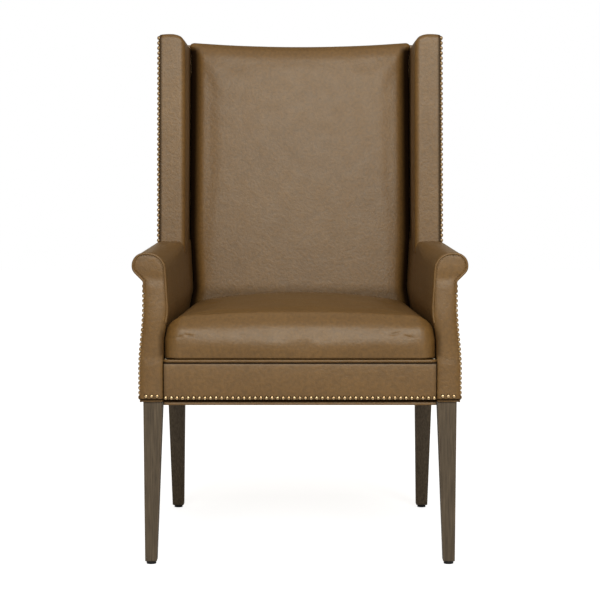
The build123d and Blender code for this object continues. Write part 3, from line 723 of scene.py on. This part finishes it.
def leather_material():
    # Drum-dyed hide: a pebble grain that breaks up the sheen, small flecks, soft clouds of dye and a wide
    # low gloss, with painted shade in the tucks. The pebbles are drawn coarser than real ones, so that they
    # show.
    material, tree, shader, place = new_material(
        "drum-dyed leather", {"IOR": 1.5, "Specular Tint": (0.96, 1.0, 0.92, 1.0)}
    )
    cloud = add_node(
        tree,
        "ShaderNodeTexNoise",
        {"Vector": place, "Scale": per_metre(143.0), "Detail": 5.0, "Roughness": 0.6},
    )
    dye = add_node(
        tree,
        "ShaderNodeValToRGB",
        {"Fac": cloud.outputs["Fac"]},
        ramp=((0.35, colour("775527")), (0.68, colour("7e5b2b"))),
    )
    crease = add_node(tree, "ShaderNodeTexNoise", {"Vector": place, "Scale": per_metre(6.667), "Detail": 3.0})
    fleck = add_node(
        tree,
        "ShaderNodeMapRange",
        {"Value": crease.outputs["Fac"], "From Min": 0.3, "From Max": 0.7, "To Min": 0.86, "To Max": 1.14},
    )
    mottled = add_node(
        tree, "ShaderNodeVectorMath", {0: dye.outputs["Color"], "Scale": fleck.outputs[0]}, operation="SCALE"
    )
    # Painted shade: where the tuck attribute is high, the colour is mixed towards dark brown 2a1c0e and the
    # gloss is taken away. This stands in for the shade in creases and between parts.
    tuck = add_node(tree, "ShaderNodeAttribute", attribute_name="tuck")
    hide = add_node(
        tree,
        "ShaderNodeMix",
        {"Factor": tuck.outputs["Fac"], 6: mottled.outputs[0], 7: colour("2a1c0e")},
        data_type="RGBA",
    )
    tree.links.new(hide.outputs[2], shader.inputs["Base Color"])
    tuck_shade_gloss = add_node(
        tree, "ShaderNodeMapRange", {"Value": tuck.outputs["Fac"], "To Min": 0.74, "To Max": 0.05}
    )
    tree.links.new(tuck_shade_gloss.outputs[0], shader.inputs["Specular IOR Level"])
    wear = add_node(tree, "ShaderNodeTexNoise", {"Vector": place, "Scale": per_metre(29.41), "Detail": 4.0})
    gloss = add_node(
        tree, "ShaderNodeMapRange", {"Value": wear.outputs["Fac"], "To Min": 0.46, "To Max": 0.56}
    )
    tree.links.new(gloss.outputs[0], shader.inputs["Roughness"])
    pebble = add_node(
        tree, "ShaderNodeTexVoronoi", {"Vector": place, "Scale": per_metre(1.923)}, feature="SMOOTH_F1"
    )
    fine = add_node(
        tree, "ShaderNodeBump", {"Height": pebble.outputs["Distance"], "Strength": 0.45, "Distance": 0.0004}
    )
    coarse = add_node(
        tree,
        "ShaderNodeBump",
        {"Height": crease.outputs["Fac"], "Strength": 0.46, "Distance": 0.0013, "Normal": fine.outputs[0]},
    )
    tree.links.new(coarse.outputs[0], shader.inputs["Normal"])
    return material


def wood_material(name, dark, light, roughness):
    # Straight grain running up the piece: long streaks of tone in low relief, drawn coarser than real pores
    # so that they show
    material, tree, shader, place = new_material(name, {"Roughness": roughness, "Specular IOR Level": 0.4})
    stretch = add_node(tree, "ShaderNodeMapping", {"Vector": place, "Scale": (1.0, 1.0, 0.035)})
    grain = add_node(
        tree,
        "ShaderNodeTexNoise",
        {"Vector": stretch.outputs[0], "Scale": per_metre(2.381), "Detail": 6.0, "Roughness": 0.65},
    )
    tone = add_node(
        tree, "ShaderNodeValToRGB", {"Fac": grain.outputs["Fac"]}, ramp=((0.3, dark), (0.72, light))
    )
    tree.links.new(tone.outputs["Color"], shader.inputs["Base Color"])
    pores = add_node(
        tree, "ShaderNodeBump", {"Height": grain.outputs["Fac"], "Strength": 0.25, "Distance": 0.0003}
    )
    tree.links.new(pores.outputs[0], shader.inputs["Normal"])
    return material


def brass_material():
    # Antiqued brass: domes rubbed bright on top, with small clouds of tone and a dark patina that climbs
    # from the rim. The dark band reaches well up the domes' sides, so it is partly painted shade there.
    material, tree, shader, place = new_material("antiqued brass", {"Metallic": 0.85})
    cloud = add_node(tree, "ShaderNodeTexNoise", {"Vector": place, "Scale": per_metre(2.381), "Detail": 3.0})
    tone = add_node(
        tree,
        "ShaderNodeValToRGB",
        {"Fac": cloud.outputs["Fac"]},
        ramp=((0.25, colour("bc9056")), (0.7, colour("fadcac"))),
    )
    rim = add_node(tree, "ShaderNodeAttribute", attribute_name="rim")
    # Patina and painted shade: from the rim up, the dome is mixed towards near black 1c0d04
    patina_and_shade = add_node(
        tree,
        "ShaderNodeMix",
        {"Factor": rim.outputs["Fac"], 6: tone.outputs["Color"], 7: colour("1c0d04")},
        data_type="RGBA",
    )
    tree.links.new(patina_and_shade.outputs[2], shader.inputs["Base Color"])
    gloss = add_node(
        tree, "ShaderNodeMapRange", {"Value": cloud.outputs["Fac"], "To Min": 0.28, "To Max": 0.4}
    )
    tree.links.new(gloss.outputs[0], shader.inputs["Roughness"])
    return material


def cloth_material(name, dark, light, pitch):
    # Woven threads as fine bands, uneven in tone. A wave repeats each 2 pi / 20 units, so the bands are drawn
    # about six times as coarse as the thread pitch in mm, and show.
    material, tree, shader, place = new_material(name, {"Roughness": 0.9, "Specular IOR Level": 0.2})
    weave = add_node(
        tree,
        "ShaderNodeTexWave",
        {"Vector": place, "Scale": per_metre(pitch) / 20.0, "Distortion": 1.5, "Detail": 2.0},
    )
    tone = add_node(
        tree, "ShaderNodeValToRGB", {"Fac": weave.outputs["Fac"]}, ramp=((0.0, dark), (1.0, light))
    )
    tree.links.new(tone.outputs["Color"], shader.inputs["Base Color"])
    raised = add_node(
        tree, "ShaderNodeBump", {"Height": weave.outputs["Fac"], "Strength": 0.4, "Distance": 0.0004}
    )
    tree.links.new(raised.outputs[0], shader.inputs["Normal"])
    return material


def pad_material():
    # Cut foam and felt: open cells a millimetre or two wide
    material, tree, shader, place = new_material("foam and cotton felt", {"Roughness": 0.95})
    cells = add_node(tree, "ShaderNodeTexVoronoi", {"Vector": place, "Scale": per_metre(1.667)})
    tone = add_node(
        tree,
        "ShaderNodeValToRGB",
        {"Fac": cells.outputs["Distance"]},
        ramp=((0.0, colour("c9bd9c")), (1.0, colour("ece3c9"))),
    )
    tree.links.new(tone.outputs["Color"], shader.inputs["Base Color"])
    return material


def plastic_material():
    # Moulded black glide: scuffs a few millimetres wide, in tone and in sheen
    material, tree, shader, place = new_material("moulded black plastic", {"Specular IOR Level": 0.4})
    scuff = add_node(tree, "ShaderNodeTexNoise", {"Vector": place, "Scale": per_metre(3.333), "Detail": 4.0})
    tone = add_node(
        tree,
        "ShaderNodeValToRGB",
        {"Fac": scuff.outputs["Fac"]},
        ramp=((0.0, colour("0d0d0d")), (1.0, colour("232323"))),
    )
    tree.links.new(tone.outputs["Color"], shader.inputs["Base Color"])
    gloss = add_node(
        tree, "ShaderNodeMapRange", {"Value": scuff.outputs["Fac"], "To Min": 0.4, "To Max": 0.6}
    )
    tree.links.new(gloss.outputs[0], shader.inputs["Roughness"])
    return material


materials = {
    "leather": leather_material(),
    "stained_wood": wood_material("stained and lacquered hardwood", colour("463b2d"), colour("766650"), 0.42),
    "frame_wood": wood_material("planed hardwood", colour("a07c52"), colour("d0ae7e"), 0.7),
    "nail_brass": brass_material(),
    "glide_plastic": plastic_material(),
    "padding": pad_material(),
    "webbing": cloth_material("woven jute webbing", colour("5a4427"), colour("96784a"), 1.8),
    "dust_cloth": cloth_material("black dust cloth", colour("0c0c0c"), colour("1d1d1d"), 0.6),
}
thread = cloth_material("waxed thread", colour("5c4224"), colour("84633a"), 0.3)


def dress(piece, slot, *replaced, fill=None):
    """Gives a piece its material and slot, and hides the CAD nodes that it stands for."""
    piece.data.materials.clear()
    piece.data.materials.append(materials[slot])
    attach(piece, "root")
    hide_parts(*replaced)
    return piece


def read_points(mesh):
    flat = np.empty(3 * len(mesh.vertices))
    mesh.vertices.foreach_get("co", flat)
    return flat.reshape(-1, 3)


def settle(piece, pressure, slack, cap, held):
    """Lets a padded cover settle as cloth, held where it is tacked down, and moves the piece with it."""
    scene = bpy.context.scene
    frames = 20
    cover = new_object("settling_cover", piece.data.copy())
    even = cover.modifiers.new("even mesh", "REMESH")
    even.mode = "VOXEL"
    even.voxel_size = 0.006
    depsgraph = bpy.context.evaluated_depsgraph_get()
    cover.data = bpy.data.meshes.new_from_object(cover.evaluated_get(depsgraph), depsgraph=depsgraph)
    cover.modifiers.clear()
    start = read_points(cover.data)
    tacked = cover.vertex_groups.new(name="tacked")
    tacked.add(np.flatnonzero(held(from_row(start))).tolist(), 1.0, "REPLACE")
    cloth = cover.modifiers.new("cover", "CLOTH")
    cloth.settings.quality = 6
    cloth.settings.mass = 0.3
    cloth.settings.tension_stiffness = 25.0
    cloth.settings.compression_stiffness = 25.0
    cloth.settings.bending_stiffness = 12.0
    cloth.settings.use_pressure = True
    cloth.settings.uniform_pressure_force = pressure
    cloth.settings.shrink_min = -slack
    cloth.settings.vertex_group_mass = "tacked"
    cloth.settings.effector_weights.gravity = 0.0
    cloth.collision_settings.use_collision = False
    cloth.point_cache.frame_start = 1
    cloth.point_cache.frame_end = frames
    for number in range(1, frames + 1):
        scene.frame_set(number)
    depsgraph = bpy.context.evaluated_depsgraph_get()
    moved = read_points(cover.evaluated_get(depsgraph).data) - start
    length = np.linalg.norm(moved, axis=1, keepdims=True)
    moved *= np.minimum(1.0, cap / 1000.0 / np.maximum(length, 1e-9))
    scene.frame_set(1)
    tree = KDTree(len(start))
    for i, point in enumerate(start):
        tree.insert(point, i)
    tree.balance()
    points = read_points(piece.data)
    for i, point in enumerate(points):
        near = tree.find_n(point, 24)
        weights = np.array([1.0 / (distance + 0.008) for place, k, distance in near])
        points[i] = point + weights @ moved[[k for place, k, distance in near]] / weights.sum()
    piece.data.vertices.foreach_set("co", points.ravel())
    piece.data.update()
    bpy.data.objects.remove(cover)


def paint_tuck_shade(piece, amount):
    """Marks how far each point lies in a tuck, where painted shade makes the leather dark and takes its gloss
    away.
    """
    layer = piece.data.attributes.new("tuck", "FLOAT", "POINT")
    layer.data.foreach_set("value", amount(*from_row(read_points(piece.data)).T))
    return piece


# Painted shade on the seat: along the arms, where it meets the inside back, and under its front by the welt
def seat_tuck_shade(x, depth, z):
    beside = np.abs(x) - arm_inside_at(depth, z)
    side = smooth_step(beside, -3.4, -1.4)
    side = np.maximum(side, 0.8 * smooth_step(beside, -13.0, -2.0) * smooth_step(depth, 20.0, 70.0))
    side = np.maximum(side, 0.5 * smooth_step(depth, 478.0, 514.0))
    return np.maximum(side, smooth_step(-z, -WELT_Z - 6.5, -WELT_Z - 3.0))


# Painted shade on the inside back: at its sides next to the arms and wings, fading out just under the top,
# and partly at its foot by the seat
def back_tuck_shade(x, depth, z):
    side = np.minimum(BACK_HALF, arm_inside_at(depth, z))
    beside = smooth_step(np.abs(x) - side, -26.0, -8.0) * smooth_step(BACK_TOP - z, 6.0, 20.0)
    return np.maximum(beside, 0.4 * smooth_step(-z, -WELT_Z - SEAT_LINE - 30.0, -WELT_Z - SEAT_LINE))


# Painted shade on the border: a band in the groove under the nails, its ends next to the arm fronts and its
# top under the seat welt
def border_tuck_shade(x, depth, z):
    band = smooth_step(z, BORDER_GROOVE - 3.6, BORDER_GROOVE - 1.8)
    band = band * smooth_step(-z, -BORDER_GROOVE - 4.2, -BORDER_GROOVE - 2.2)
    ends = smooth_step(np.abs(x), FOOT_IN - 3.4, FOOT_IN - 1.4)
    return np.maximum(np.maximum(band, ends), smooth_step(z, WELT_Z - 8.0, WELT_Z - 6.2))


# Painted shade on the arm front: partly along its inner edge beside the seat front, and fully at its foot
# above the leg
def arm_front_tuck_shade(x, depth, z):
    inner = edge_at(z, FRONT_INSET)[0]
    corner = smooth_step(inner - np.abs(x), -14.0, 0.0) * smooth_step(z, WELT_Z + 2.0, WELT_Z + 14.0)
    corner = 0.6 * corner * smooth_step(-z, -WELT_Z - 84.0, -WELT_Z - 50.0)
    return np.maximum(corner, smooth_step(-z, -LEG_TOP - 8.4, -LEG_TOP - 6.2))


def wing_tuck_shade(x, depth, z):
    """Painted shade on the edge that is drawn under the nails."""
    return 0.8 * smooth_step(np.abs(x), WING_OUT - 8.5, WING_OUT - 6.0)


def seat_held(p):
    beside = np.abs(p[:, 0]) > arm_inside_at(p[:, 1], p[:, 2]) - 4.0
    return beside | (p[:, 2] < WELT_Z + 5.0) | (p[:, 1] > BACK_DEPTH - 12.0)


def back_held(p):
    in_face = p[:, 1] < back_face_at(p[:, 2]) + 26.0
    return ~in_face | (np.abs(p[:, 0]) > BACK_HALF - 10.0) | (p[:, 2] < WELT_Z + SEAT_LINE)


# Upholstery
seat = outward(add_piece("seat", *make_seat()))
settle(seat, pressure=2.0, slack=0.001, cap=2.4, held=seat_held)
paint_tuck_shade(seat, seat_tuck_shade)
dress(seat, "leather", "seat_cover", "seat_foam", fill=0.95)
inside_back = outward(add_piece("inside_back", *make_back()))
settle(inside_back, pressure=1.5, slack=0.0, cap=1.8, held=back_held)
paint_tuck_shade(inside_back, back_tuck_shade)
dress(inside_back, "leather", "inside_back_cover", "back_foam", fill=0.95)
border = paint_tuck_shade(outward(add_piece("border", *make_border())), border_tuck_shade)
dress(border, "leather", "front_border", "border_padding", fill=0.95)
dress(outward(add_piece("outside_back", *make_outside_back())), "leather", "outside_back_cover")
for piece, side in both_sides("arm", *make_arm()):
    dress(piece, "leather", "inside_arm_cover_" + side, "arm_padding_" + side, fill=0.95)
for piece, side in both_sides("outside_arm", *make_outside_arm()):
    dress(piece, "leather", "outside_arm_cover_" + side)
for piece, side in both_sides("arm_front", *make_arm_front()):
    paint_tuck_shade(piece, arm_front_tuck_shade)
    dress(piece, "leather", "arm_front_panel_" + side)
for piece, side in both_sides("wing", *make_wing()):
    paint_tuck_shade(piece, wing_tuck_shade)
    dress(piece, "leather", "inside_wing_cover_" + side, "wing_padding_" + side, fill=0.95)
for piece, side in both_sides("outside_wing", *make_outside_wing()):
    dress(piece, "leather", "outside_wing_cover_" + side)

# Piped edges
for piece, side in both_sides("arm_welt", *tube(arm_edge_path(1.4, -0.9), WELT_RADIUS)):
    dress(piece, "leather", "arm_front_welt_" + side)
run = np.linspace(-FOOT_IN + 2.0, FOOT_IN - 2.0, 140)
tuck = 6.0 * smooth_step(np.abs(run), FOOT_IN - 12.0, FOOT_IN - 2.0)
seat_welt_path = np.column_stack([run, tuck - 0.6, np.full(len(run), WELT_Z - 0.6)])
dress(outward(add_piece("seat_welt", *tube(seat_welt_path, SEAT_WELT_RADIUS))), "leather", "seat_welt")


# Nails and stitches: one Geometry Nodes tree sets a head on each point, square to the normal stored there
def make_scatter():
    tree = bpy.data.node_groups.new("heads on points", "GeometryNodeTree")
    for name, kind in (
        ("Geometry", "NodeSocketGeometry"),
        ("Head", "NodeSocketObject"),
        ("Material", "NodeSocketMaterial"),
        ("Size jitter", "NodeSocketFloat"),
        ("Seed", "NodeSocketInt"),
    ):
        tree.interface.new_socket(name=name, in_out="INPUT", socket_type=kind)
    tree.interface.new_socket(name="Geometry", in_out="OUTPUT", socket_type="NodeSocketGeometry")
    given = add_node(tree, "NodeGroupInput").outputs
    facing = add_node(tree, "GeometryNodeInputNamedAttribute", {"Name": "facing"}, data_type="FLOAT_VECTOR")
    along = add_node(tree, "GeometryNodeInputNamedAttribute", {"Name": "along"}, data_type="FLOAT_VECTOR")
    turn = add_node(
        tree, "FunctionNodeAlignRotationToVector", {"Vector": facing.outputs["Attribute"]}, axis="Z"
    )
    turn = add_node(
        tree,
        "FunctionNodeAlignRotationToVector",
        {"Rotation": turn.outputs[0], "Vector": along.outputs["Attribute"]},
        axis="X",
        pivot_axis="Z",
    )
    spread = add_node(tree, "ShaderNodeMath", {0: 1.0, 1: given["Size jitter"]}, operation="SUBTRACT")
    size = add_node(
        tree,
        "FunctionNodeRandomValue",
        {"Min": spread.outputs[0], "Max": 1.0, "Seed": given["Seed"]},
        data_type="FLOAT",
    )
    head = add_node(tree, "GeometryNodeObjectInfo", {"Object": given["Head"]})
    placed = add_node(
        tree,
        "GeometryNodeInstanceOnPoints",
        {
            "Points": given["Geometry"],
            "Instance": head.outputs["Geometry"],
            "Rotation": turn.outputs[0],
            "Scale": size.outputs["Value"],
        },
    )
    real = add_node(tree, "GeometryNodeRealizeInstances", {"Geometry": placed.outputs[0]})
    painted = add_node(
        tree, "GeometryNodeSetMaterial", {"Geometry": real.outputs[0], "Material": given["Material"]}
    )
    add_node(tree, "NodeGroupOutput", {"Geometry": painted.outputs[0]})
    return tree


scatter = make_scatter()


def head_object(name, profile, sides, stretch=1.0, patina_and_shade=0.0):
    """A small turned head from a profile of (radius, height) in mm, dark up to a height from tarnish at the
    rim and painted shade on its sides.
    """
    points = []
    for radius, height in profile[:-1]:
        for i in range(sides):
            angle = 2 * math.pi * i / sides
            points.append((stretch * radius * math.cos(angle), radius * math.sin(angle), height))
    points.append((0.0, 0.0, profile[-1][1]))
    faces = grid_faces(len(profile) - 1, sides, wrap=True)
    last = (len(profile) - 2) * sides
    faces += [(last + i, last + (i + 1) % sides, len(points) - 1) for i in range(sides)]
    faces.append(tuple(reversed(range(sides))))
    mesh = bpy.data.meshes.new(name)
    mesh.from_pydata((np.array(points) / 1000.0).tolist(), [], faces)
    mesh.polygons.foreach_set("use_smooth", [len(f) < sides for f in faces])
    rim = [max(0.0, min(1.0, (patina_and_shade - z) / PATINA_AND_SHADE_FADE)) for x, y, z in points]
    mesh.attributes.new("rim", "FLOAT", "POINT").data.foreach_set("value", rim)
    return new_object(name, mesh)


def set_heads(name, seats, head, material, jitter, seed):
    """A plain mesh piece with one head on each seat; seats are (point in mm, facing, along)."""
    mesh = bpy.data.meshes.new(name)
    mesh.from_pydata(to_row([s[0] for s in seats]).tolist(), [], [])
    for key, place in (("facing", 1), ("along", 2)):
        layer = mesh.attributes.new(key, "FLOAT_VECTOR", "POINT")
        layer.data.foreach_set("vector", np.array([s[place] for s in seats], dtype=float).ravel())
    points = new_object(name + "_points", mesh)
    modifier = points.modifiers.new("heads", "NODES")
    modifier.node_group = scatter
    values = {"Head": head, "Material": material, "Size jitter": jitter, "Seed": seed}
    for item in scatter.interface.items_tree:
        if item.in_out == "INPUT" and item.name in values:
            modifier[item.identifier] = values[item.name]
    depsgraph = bpy.context.evaluated_depsgraph_get()
    made = bpy.data.meshes.new_from_object(points.evaluated_get(depsgraph), depsgraph=depsgraph)
    made.name = name
    bpy.data.objects.remove(points)
    return new_object(name, made)


def spaced(start, end, pitch):
    """Even places from start to end, as near to the pitch as they fit."""
    count = max(1, round((end - start) / pitch))
    return [start + (end - start) * i / count for i in range(count + 1)]


def lengths_along(line):
    """Length from the start of a polyline to each of its points."""
    return np.concatenate([[0.0], np.cumsum(np.linalg.norm(np.diff(line, axis=0), axis=1))])


def point_at(line, lengths, at):
    """The point of a polyline at a length from its start."""
    return np.array([np.interp(at, lengths, values) for values in line.T])


def front_nail_seats():
    """The row along the foot of the border, and three nails under each arm front."""
    z = LEG_TOP + NAIL_ROW
    edge = FOOT_IN - NAIL_RADIUS - 1.0
    forward, along = (0.0, -1.0, 0.0), (1.0, 0.0, 0.0)
    seats = [((x, -0.6, z), forward, along) for x in spaced(-edge, edge, NAIL_PITCH)]
    for i in range(3):
        x = FOOT_IN + NAIL_RADIUS + 7.0 + NAIL_PITCH * i
        seats += [((side * x, -0.9, z + ARM_ROW_LIFT), forward, along) for side in (-1, 1)]
    return seats


def arm_nail_seats():
    """Nails up the outer edge of the arm front, turned onto its rounded corner."""
    points, radii = arm_corners(SHOULDER)
    line = round_corners(points[0:4], [0.0, radii[1], radii[2], 0.0], 24, 40, closed=False)
    lengths = lengths_along(line)
    depth = NAIL_RADIUS + 0.2
    seats = []
    for at in spaced(NAIL_ROW + ARM_NAIL_PITCH, lengths[-1] - 10.0, ARM_NAIL_PITCH):
        point = point_at(line, lengths, at)
        ahead = point_at(line, lengths, at + 1.0) - point
        normal = Vector((ahead[1], -CORNER_TURN, -ahead[0])).normalized()
        place = arm_place([point], depth)[0] - (0.8 * ahead[1], 0.0, -0.8 * ahead[0])
        seats.append((place, tuple(normal), (ahead[0], 0.0, ahead[1])))
    return seats


def foot_nail_seats():
    """The row along the foot of the side."""
    normal = tuple(Vector((1.0, SIDE_TURN, 0.0)).normalized())
    z = LEG_TOP + NAIL_ROW
    depths = spaced(NAIL_RADIUS + 5.0, POST_REAR - NAIL_RADIUS - 5.0, NAIL_PITCH)
    return [((FOOT_OUT - SIDE_TURN * d, d, z), normal, (0.0, 1.0, 0.0)) for d in depths]


def wing_nail_seats():
    """Nails up the outer front edge of the wing, turned onto its rounded corner."""
    normal = tuple(Vector((1.0, -CORNER_TURN, 0.0)).normalized())
    seats = []
    for z in spaced(ARM_TOP + 16.0, HEIGHT - 4.0 - NAIL_RADIUS - 1.0, NAIL_PITCH):
        depth = float(wing_front_at(z)) + NAIL_RADIUS - 0.6
        seats.append(((WING_OUT - 1.0, depth, z), normal, (0.0, 0.0, 1.0)))
    return seats


def mirror_seats(seats):
    return [tuple(tuple(np.multiply(part, MIRROR)) for part in seat) for seat in seats]


dome = [(NAIL_RADIUS * math.cos(a), NAIL_HEIGHT * math.sin(a)) for a in np.linspace(0.0, math.pi / 2, 6)]
nail_profile = [(NAIL_RADIUS, -NAIL_SINK), *dome]
stitch_profile = [(0.45, -0.2), (0.45, 0.1), (0.3, 0.35), (0.0, 0.45)]
nail_head = head_object("nail_head", nail_profile, 14, patina_and_shade=FRONT_PATINA_AND_SHADE)
rubbed_head = head_object("rubbed_head", nail_profile, 14, patina_and_shade=RUBBED_PATINA_AND_SHADE)
stitch_head = head_object("stitch_head", stitch_profile, 6, stretch=4.6)
nail_rows = {"front_nails": front_nail_seats()}
for row_name, row_seats in (
    ("arm_nails", arm_nail_seats()),
    ("foot_nails", foot_nail_seats()),
    ("wing_nails", wing_nail_seats()),
):
    nail_rows[row_name + "_right"] = row_seats
    nail_rows[row_name + "_left"] = mirror_seats(row_seats)
for seed, (row_name, row_seats) in enumerate(nail_rows.items()):
    head = nail_head if row_name == "front_nails" else rubbed_head
    nails = set_heads("brass_" + row_name, row_seats, head, materials["nail_brass"], 0.04, seed)
    dress(nails, "nail_brass", row_name)


def stitch_seats():
    """Stitches along the seam line inside the piped edge of the arm front."""
    path = arm_edge_path(5.8, -0.65, start_below=10.0, end_share=0.2)
    lengths = lengths_along(path)
    seats = []
    for at in spaced(4.0, lengths[-1] - 2.0, STITCH_PITCH):
        point = point_at(path, lengths, at)
        ahead = point_at(path, lengths, at + 0.5) - point
        seats.append((tuple(point), (0.0, -1.0, 0.0), tuple(ahead / np.linalg.norm(ahead))))
    return seats


for side, seats in (("right", stitch_seats()), ("left", mirror_seats(stitch_seats()))):
    stitches = set_heads("arm_stitches_" + side, seats, stitch_head, thread, 0.06, 11)
    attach(stitches, "root")
for head in (nail_head, rubbed_head, stitch_head):
    bpy.data.objects.remove(head)


def worked_copy(node, name, bevel):
    """A merged copy of a CAD node with its sharp edges eased."""
    source = frame["nodes"][node]
    mesh = source.data.copy()
    mesh.name = name
    work = bmesh.new()
    work.from_mesh(mesh)
    bmesh.ops.remove_doubles(work, verts=work.verts, dist=1e-6)
    bmesh.ops.dissolve_limit(work, angle_limit=math.radians(1.0), verts=work.verts, edges=work.edges)
    sharp = [e for e in work.edges if len(e.link_faces) == 2 and e.calc_face_angle(0.0) > math.radians(20.0)]
    bmesh.ops.bevel(
        work, geom=sharp, offset=bevel / 1000.0, segments=3, profile=0.5, affect="EDGES", clamp_overlap=True
    )
    work.to_mesh(mesh)
    work.free()
    mesh.polygons.foreach_set("use_smooth", [False] * len(mesh.polygons))
    return new_object(name, mesh)


for leg in ("front_leg", "back_leg"):
    for side in ("left", "right"):
        node = leg + "_" + side
        dress(worked_copy(node, "eased_" + node, 1.2), "stained_wood", node)
dress(worked_copy("leg_glides", "eased_glides", 0.8), "glide_plastic", "leg_glides")

# CAD nodes that stay as they are take the finish of their slot
slots = {part["node"]: part["material_slot"] for part in frame["record"]["subparts"]}
for node, held in frame["nodes"].items():
    held.data.materials.clear()
    held.data.materials.append(materials[slots[node]])

# Stage: a white floor that dims a little under the chair as painted shadow, a surround that is white to the
# camera and warm to the chair, and a softbox in front that is aimed high, so that its light fades towards the
# feet
scene = bpy.context.scene
scene.view_settings.view_transform = "Standard"
WHITE = (1.0, 1.0, 1.0, 1.0)
WARM = (1.0, 0.88, 0.7, 1.0)


def floor_material():
    # White studio floor: it lights the chair as plain paper does, and the camera sees it glow nearly white,
    # dimmed towards the chair's middle as a painted shadow
    material = bpy.data.materials.new("white studio floor")
    material.use_nodes = True
    tree = material.node_tree
    tree.nodes.clear()
    rays = add_node(tree, "ShaderNodeLightPath")
    bounce = add_node(tree, "ShaderNodeBsdfDiffuse", {"Color": colour("f6f6f6")})
    matte = add_node(tree, "ShaderNodeBsdfDiffuse", {"Color": colour("d8d8d8")})
    spot = add_node(tree, "ShaderNodeTexCoord")
    reach = add_node(tree, "ShaderNodeVectorMath", {0: spot.outputs["Object"]}, operation="LENGTH")
    # Painted shadow: the glow falls from full strength at 1.4 m from the chair's middle to 0.86 within 0.5 m
    level = add_node(
        tree,
        "ShaderNodeMapRange",
        {"Value": reach.outputs["Value"], "From Min": 0.5, "From Max": 1.4, "To Min": 0.86, "To Max": 1.0},
    )
    glow = add_node(tree, "ShaderNodeEmission", {"Color": WHITE, "Strength": level.outputs[0]})
    seen = add_node(tree, "ShaderNodeAddShader", {0: matte.outputs[0], 1: glow.outputs[0]})
    choice = add_node(
        tree,
        "ShaderNodeMixShader",
        {"Fac": rays.outputs["Is Camera Ray"], 1: bounce.outputs[0], 2: seen.outputs[0]},
    )
    add_node(tree, "ShaderNodeOutputMaterial", {"Surface": choice.outputs[0]})
    return material


def studio_surround():
    # The surround: a warm fill from behind the chair, warm walls in its reflections and white for the camera
    world = bpy.data.worlds.new("studio surround")
    world.use_nodes = True
    tree = world.node_tree
    tree.nodes.clear()
    rays = add_node(tree, "ShaderNodeLightPath")
    facing = add_node(tree, "ShaderNodeTexCoord")
    parts = add_node(tree, "ShaderNodeSeparateXYZ", {"Vector": facing.outputs["Generated"]})
    height = add_node(
        tree,
        "ShaderNodeMapRange",
        {"Value": parts.outputs["Z"], "From Min": -0.15, "From Max": 0.35, "To Min": 0.02, "To Max": 0.24},
    )
    behind = add_node(
        tree,
        "ShaderNodeMapRange",
        {"Value": parts.outputs["Y"], "From Min": -0.2, "From Max": 1.0, "To Min": 0.05, "To Max": 0.45},
    )
    fill = add_node(tree, "ShaderNodeBackground", {"Color": WARM, "Strength": behind.outputs[0]})
    rear = add_node(
        tree,
        "ShaderNodeMapRange",
        {"Value": parts.outputs["Y"], "From Min": 0.7, "From Max": 1.0, "To Min": 0.0, "To Max": 0.7},
    )
    bright = add_node(tree, "ShaderNodeMath", {0: height.outputs[0], 1: rear.outputs[0]}, operation="ADD")
    walls = add_node(tree, "ShaderNodeBackground", {"Color": WARM, "Strength": bright.outputs[0]})
    white = add_node(tree, "ShaderNodeBackground", {"Color": WHITE, "Strength": 1.0})
    mirrored = add_node(
        tree,
        "ShaderNodeMixShader",
        {"Fac": rays.outputs["Is Glossy Ray"], 1: fill.outputs[0], 2: walls.outputs[0]},
    )
    choice = add_node(
        tree,
        "ShaderNodeMixShader",
        {"Fac": rays.outputs["Is Camera Ray"], 1: mirrored.outputs[0], 2: white.outputs[0]},
    )
    add_node(tree, "ShaderNodeOutputWorld", {"Surface": choice.outputs[0]})
    return world


floor_mesh = bpy.data.meshes.new("studio_floor")
floor_mesh.from_pydata([(-12, -8, 0), (12, -8, 0), (12, 14, 0), (-12, 14, 0)], [], [(0, 1, 2, 3)])
floor_mesh.materials.append(floor_material())
new_object("studio_floor", floor_mesh)
scene.world = studio_surround()


def add_light(name, place, aim, size, power):
    """A soft rectangular studio light."""
    lamp = bpy.data.lights.new(name, "AREA")
    lamp.shape = "RECTANGLE"
    lamp.size, lamp.size_y = size
    lamp.energy = power
    light = new_object(name, lamp)
    light.location = place
    light.rotation_euler = (Vector(aim) - Vector(place)).to_track_quat("-Z", "Y").to_euler()


add_light("front_softbox", (0.2, -3.9, 2.8), (0.0, 0.0, 3.4), (3.0, 2.2), 170.0)
add_light("overhead_softbox", (0.0, -0.6, 3.4), (0.0, 0.0, 0.5), (2.2, 2.2), 7.0)

# Camera: straight in front of the chair, a little higher than the arms and tipped down
CAMERA_DISTANCE = 3509.4
CAMERA_HEIGHT = 750.7
CAMERA_TILT = 3.36
camera_data = bpy.data.cameras.new("camera")
camera_data.sensor_width = 36.0
camera_data.lens = 103.93
camera_data.dof.use_dof = False
camera = new_object("camera", camera_data)
camera.location = to_row((0.0, -CAMERA_DISTANCE, CAMERA_HEIGHT))
camera.rotation_euler = (math.radians(90.0 - CAMERA_TILT), 0.0, 0.0)
scene.camera = camera
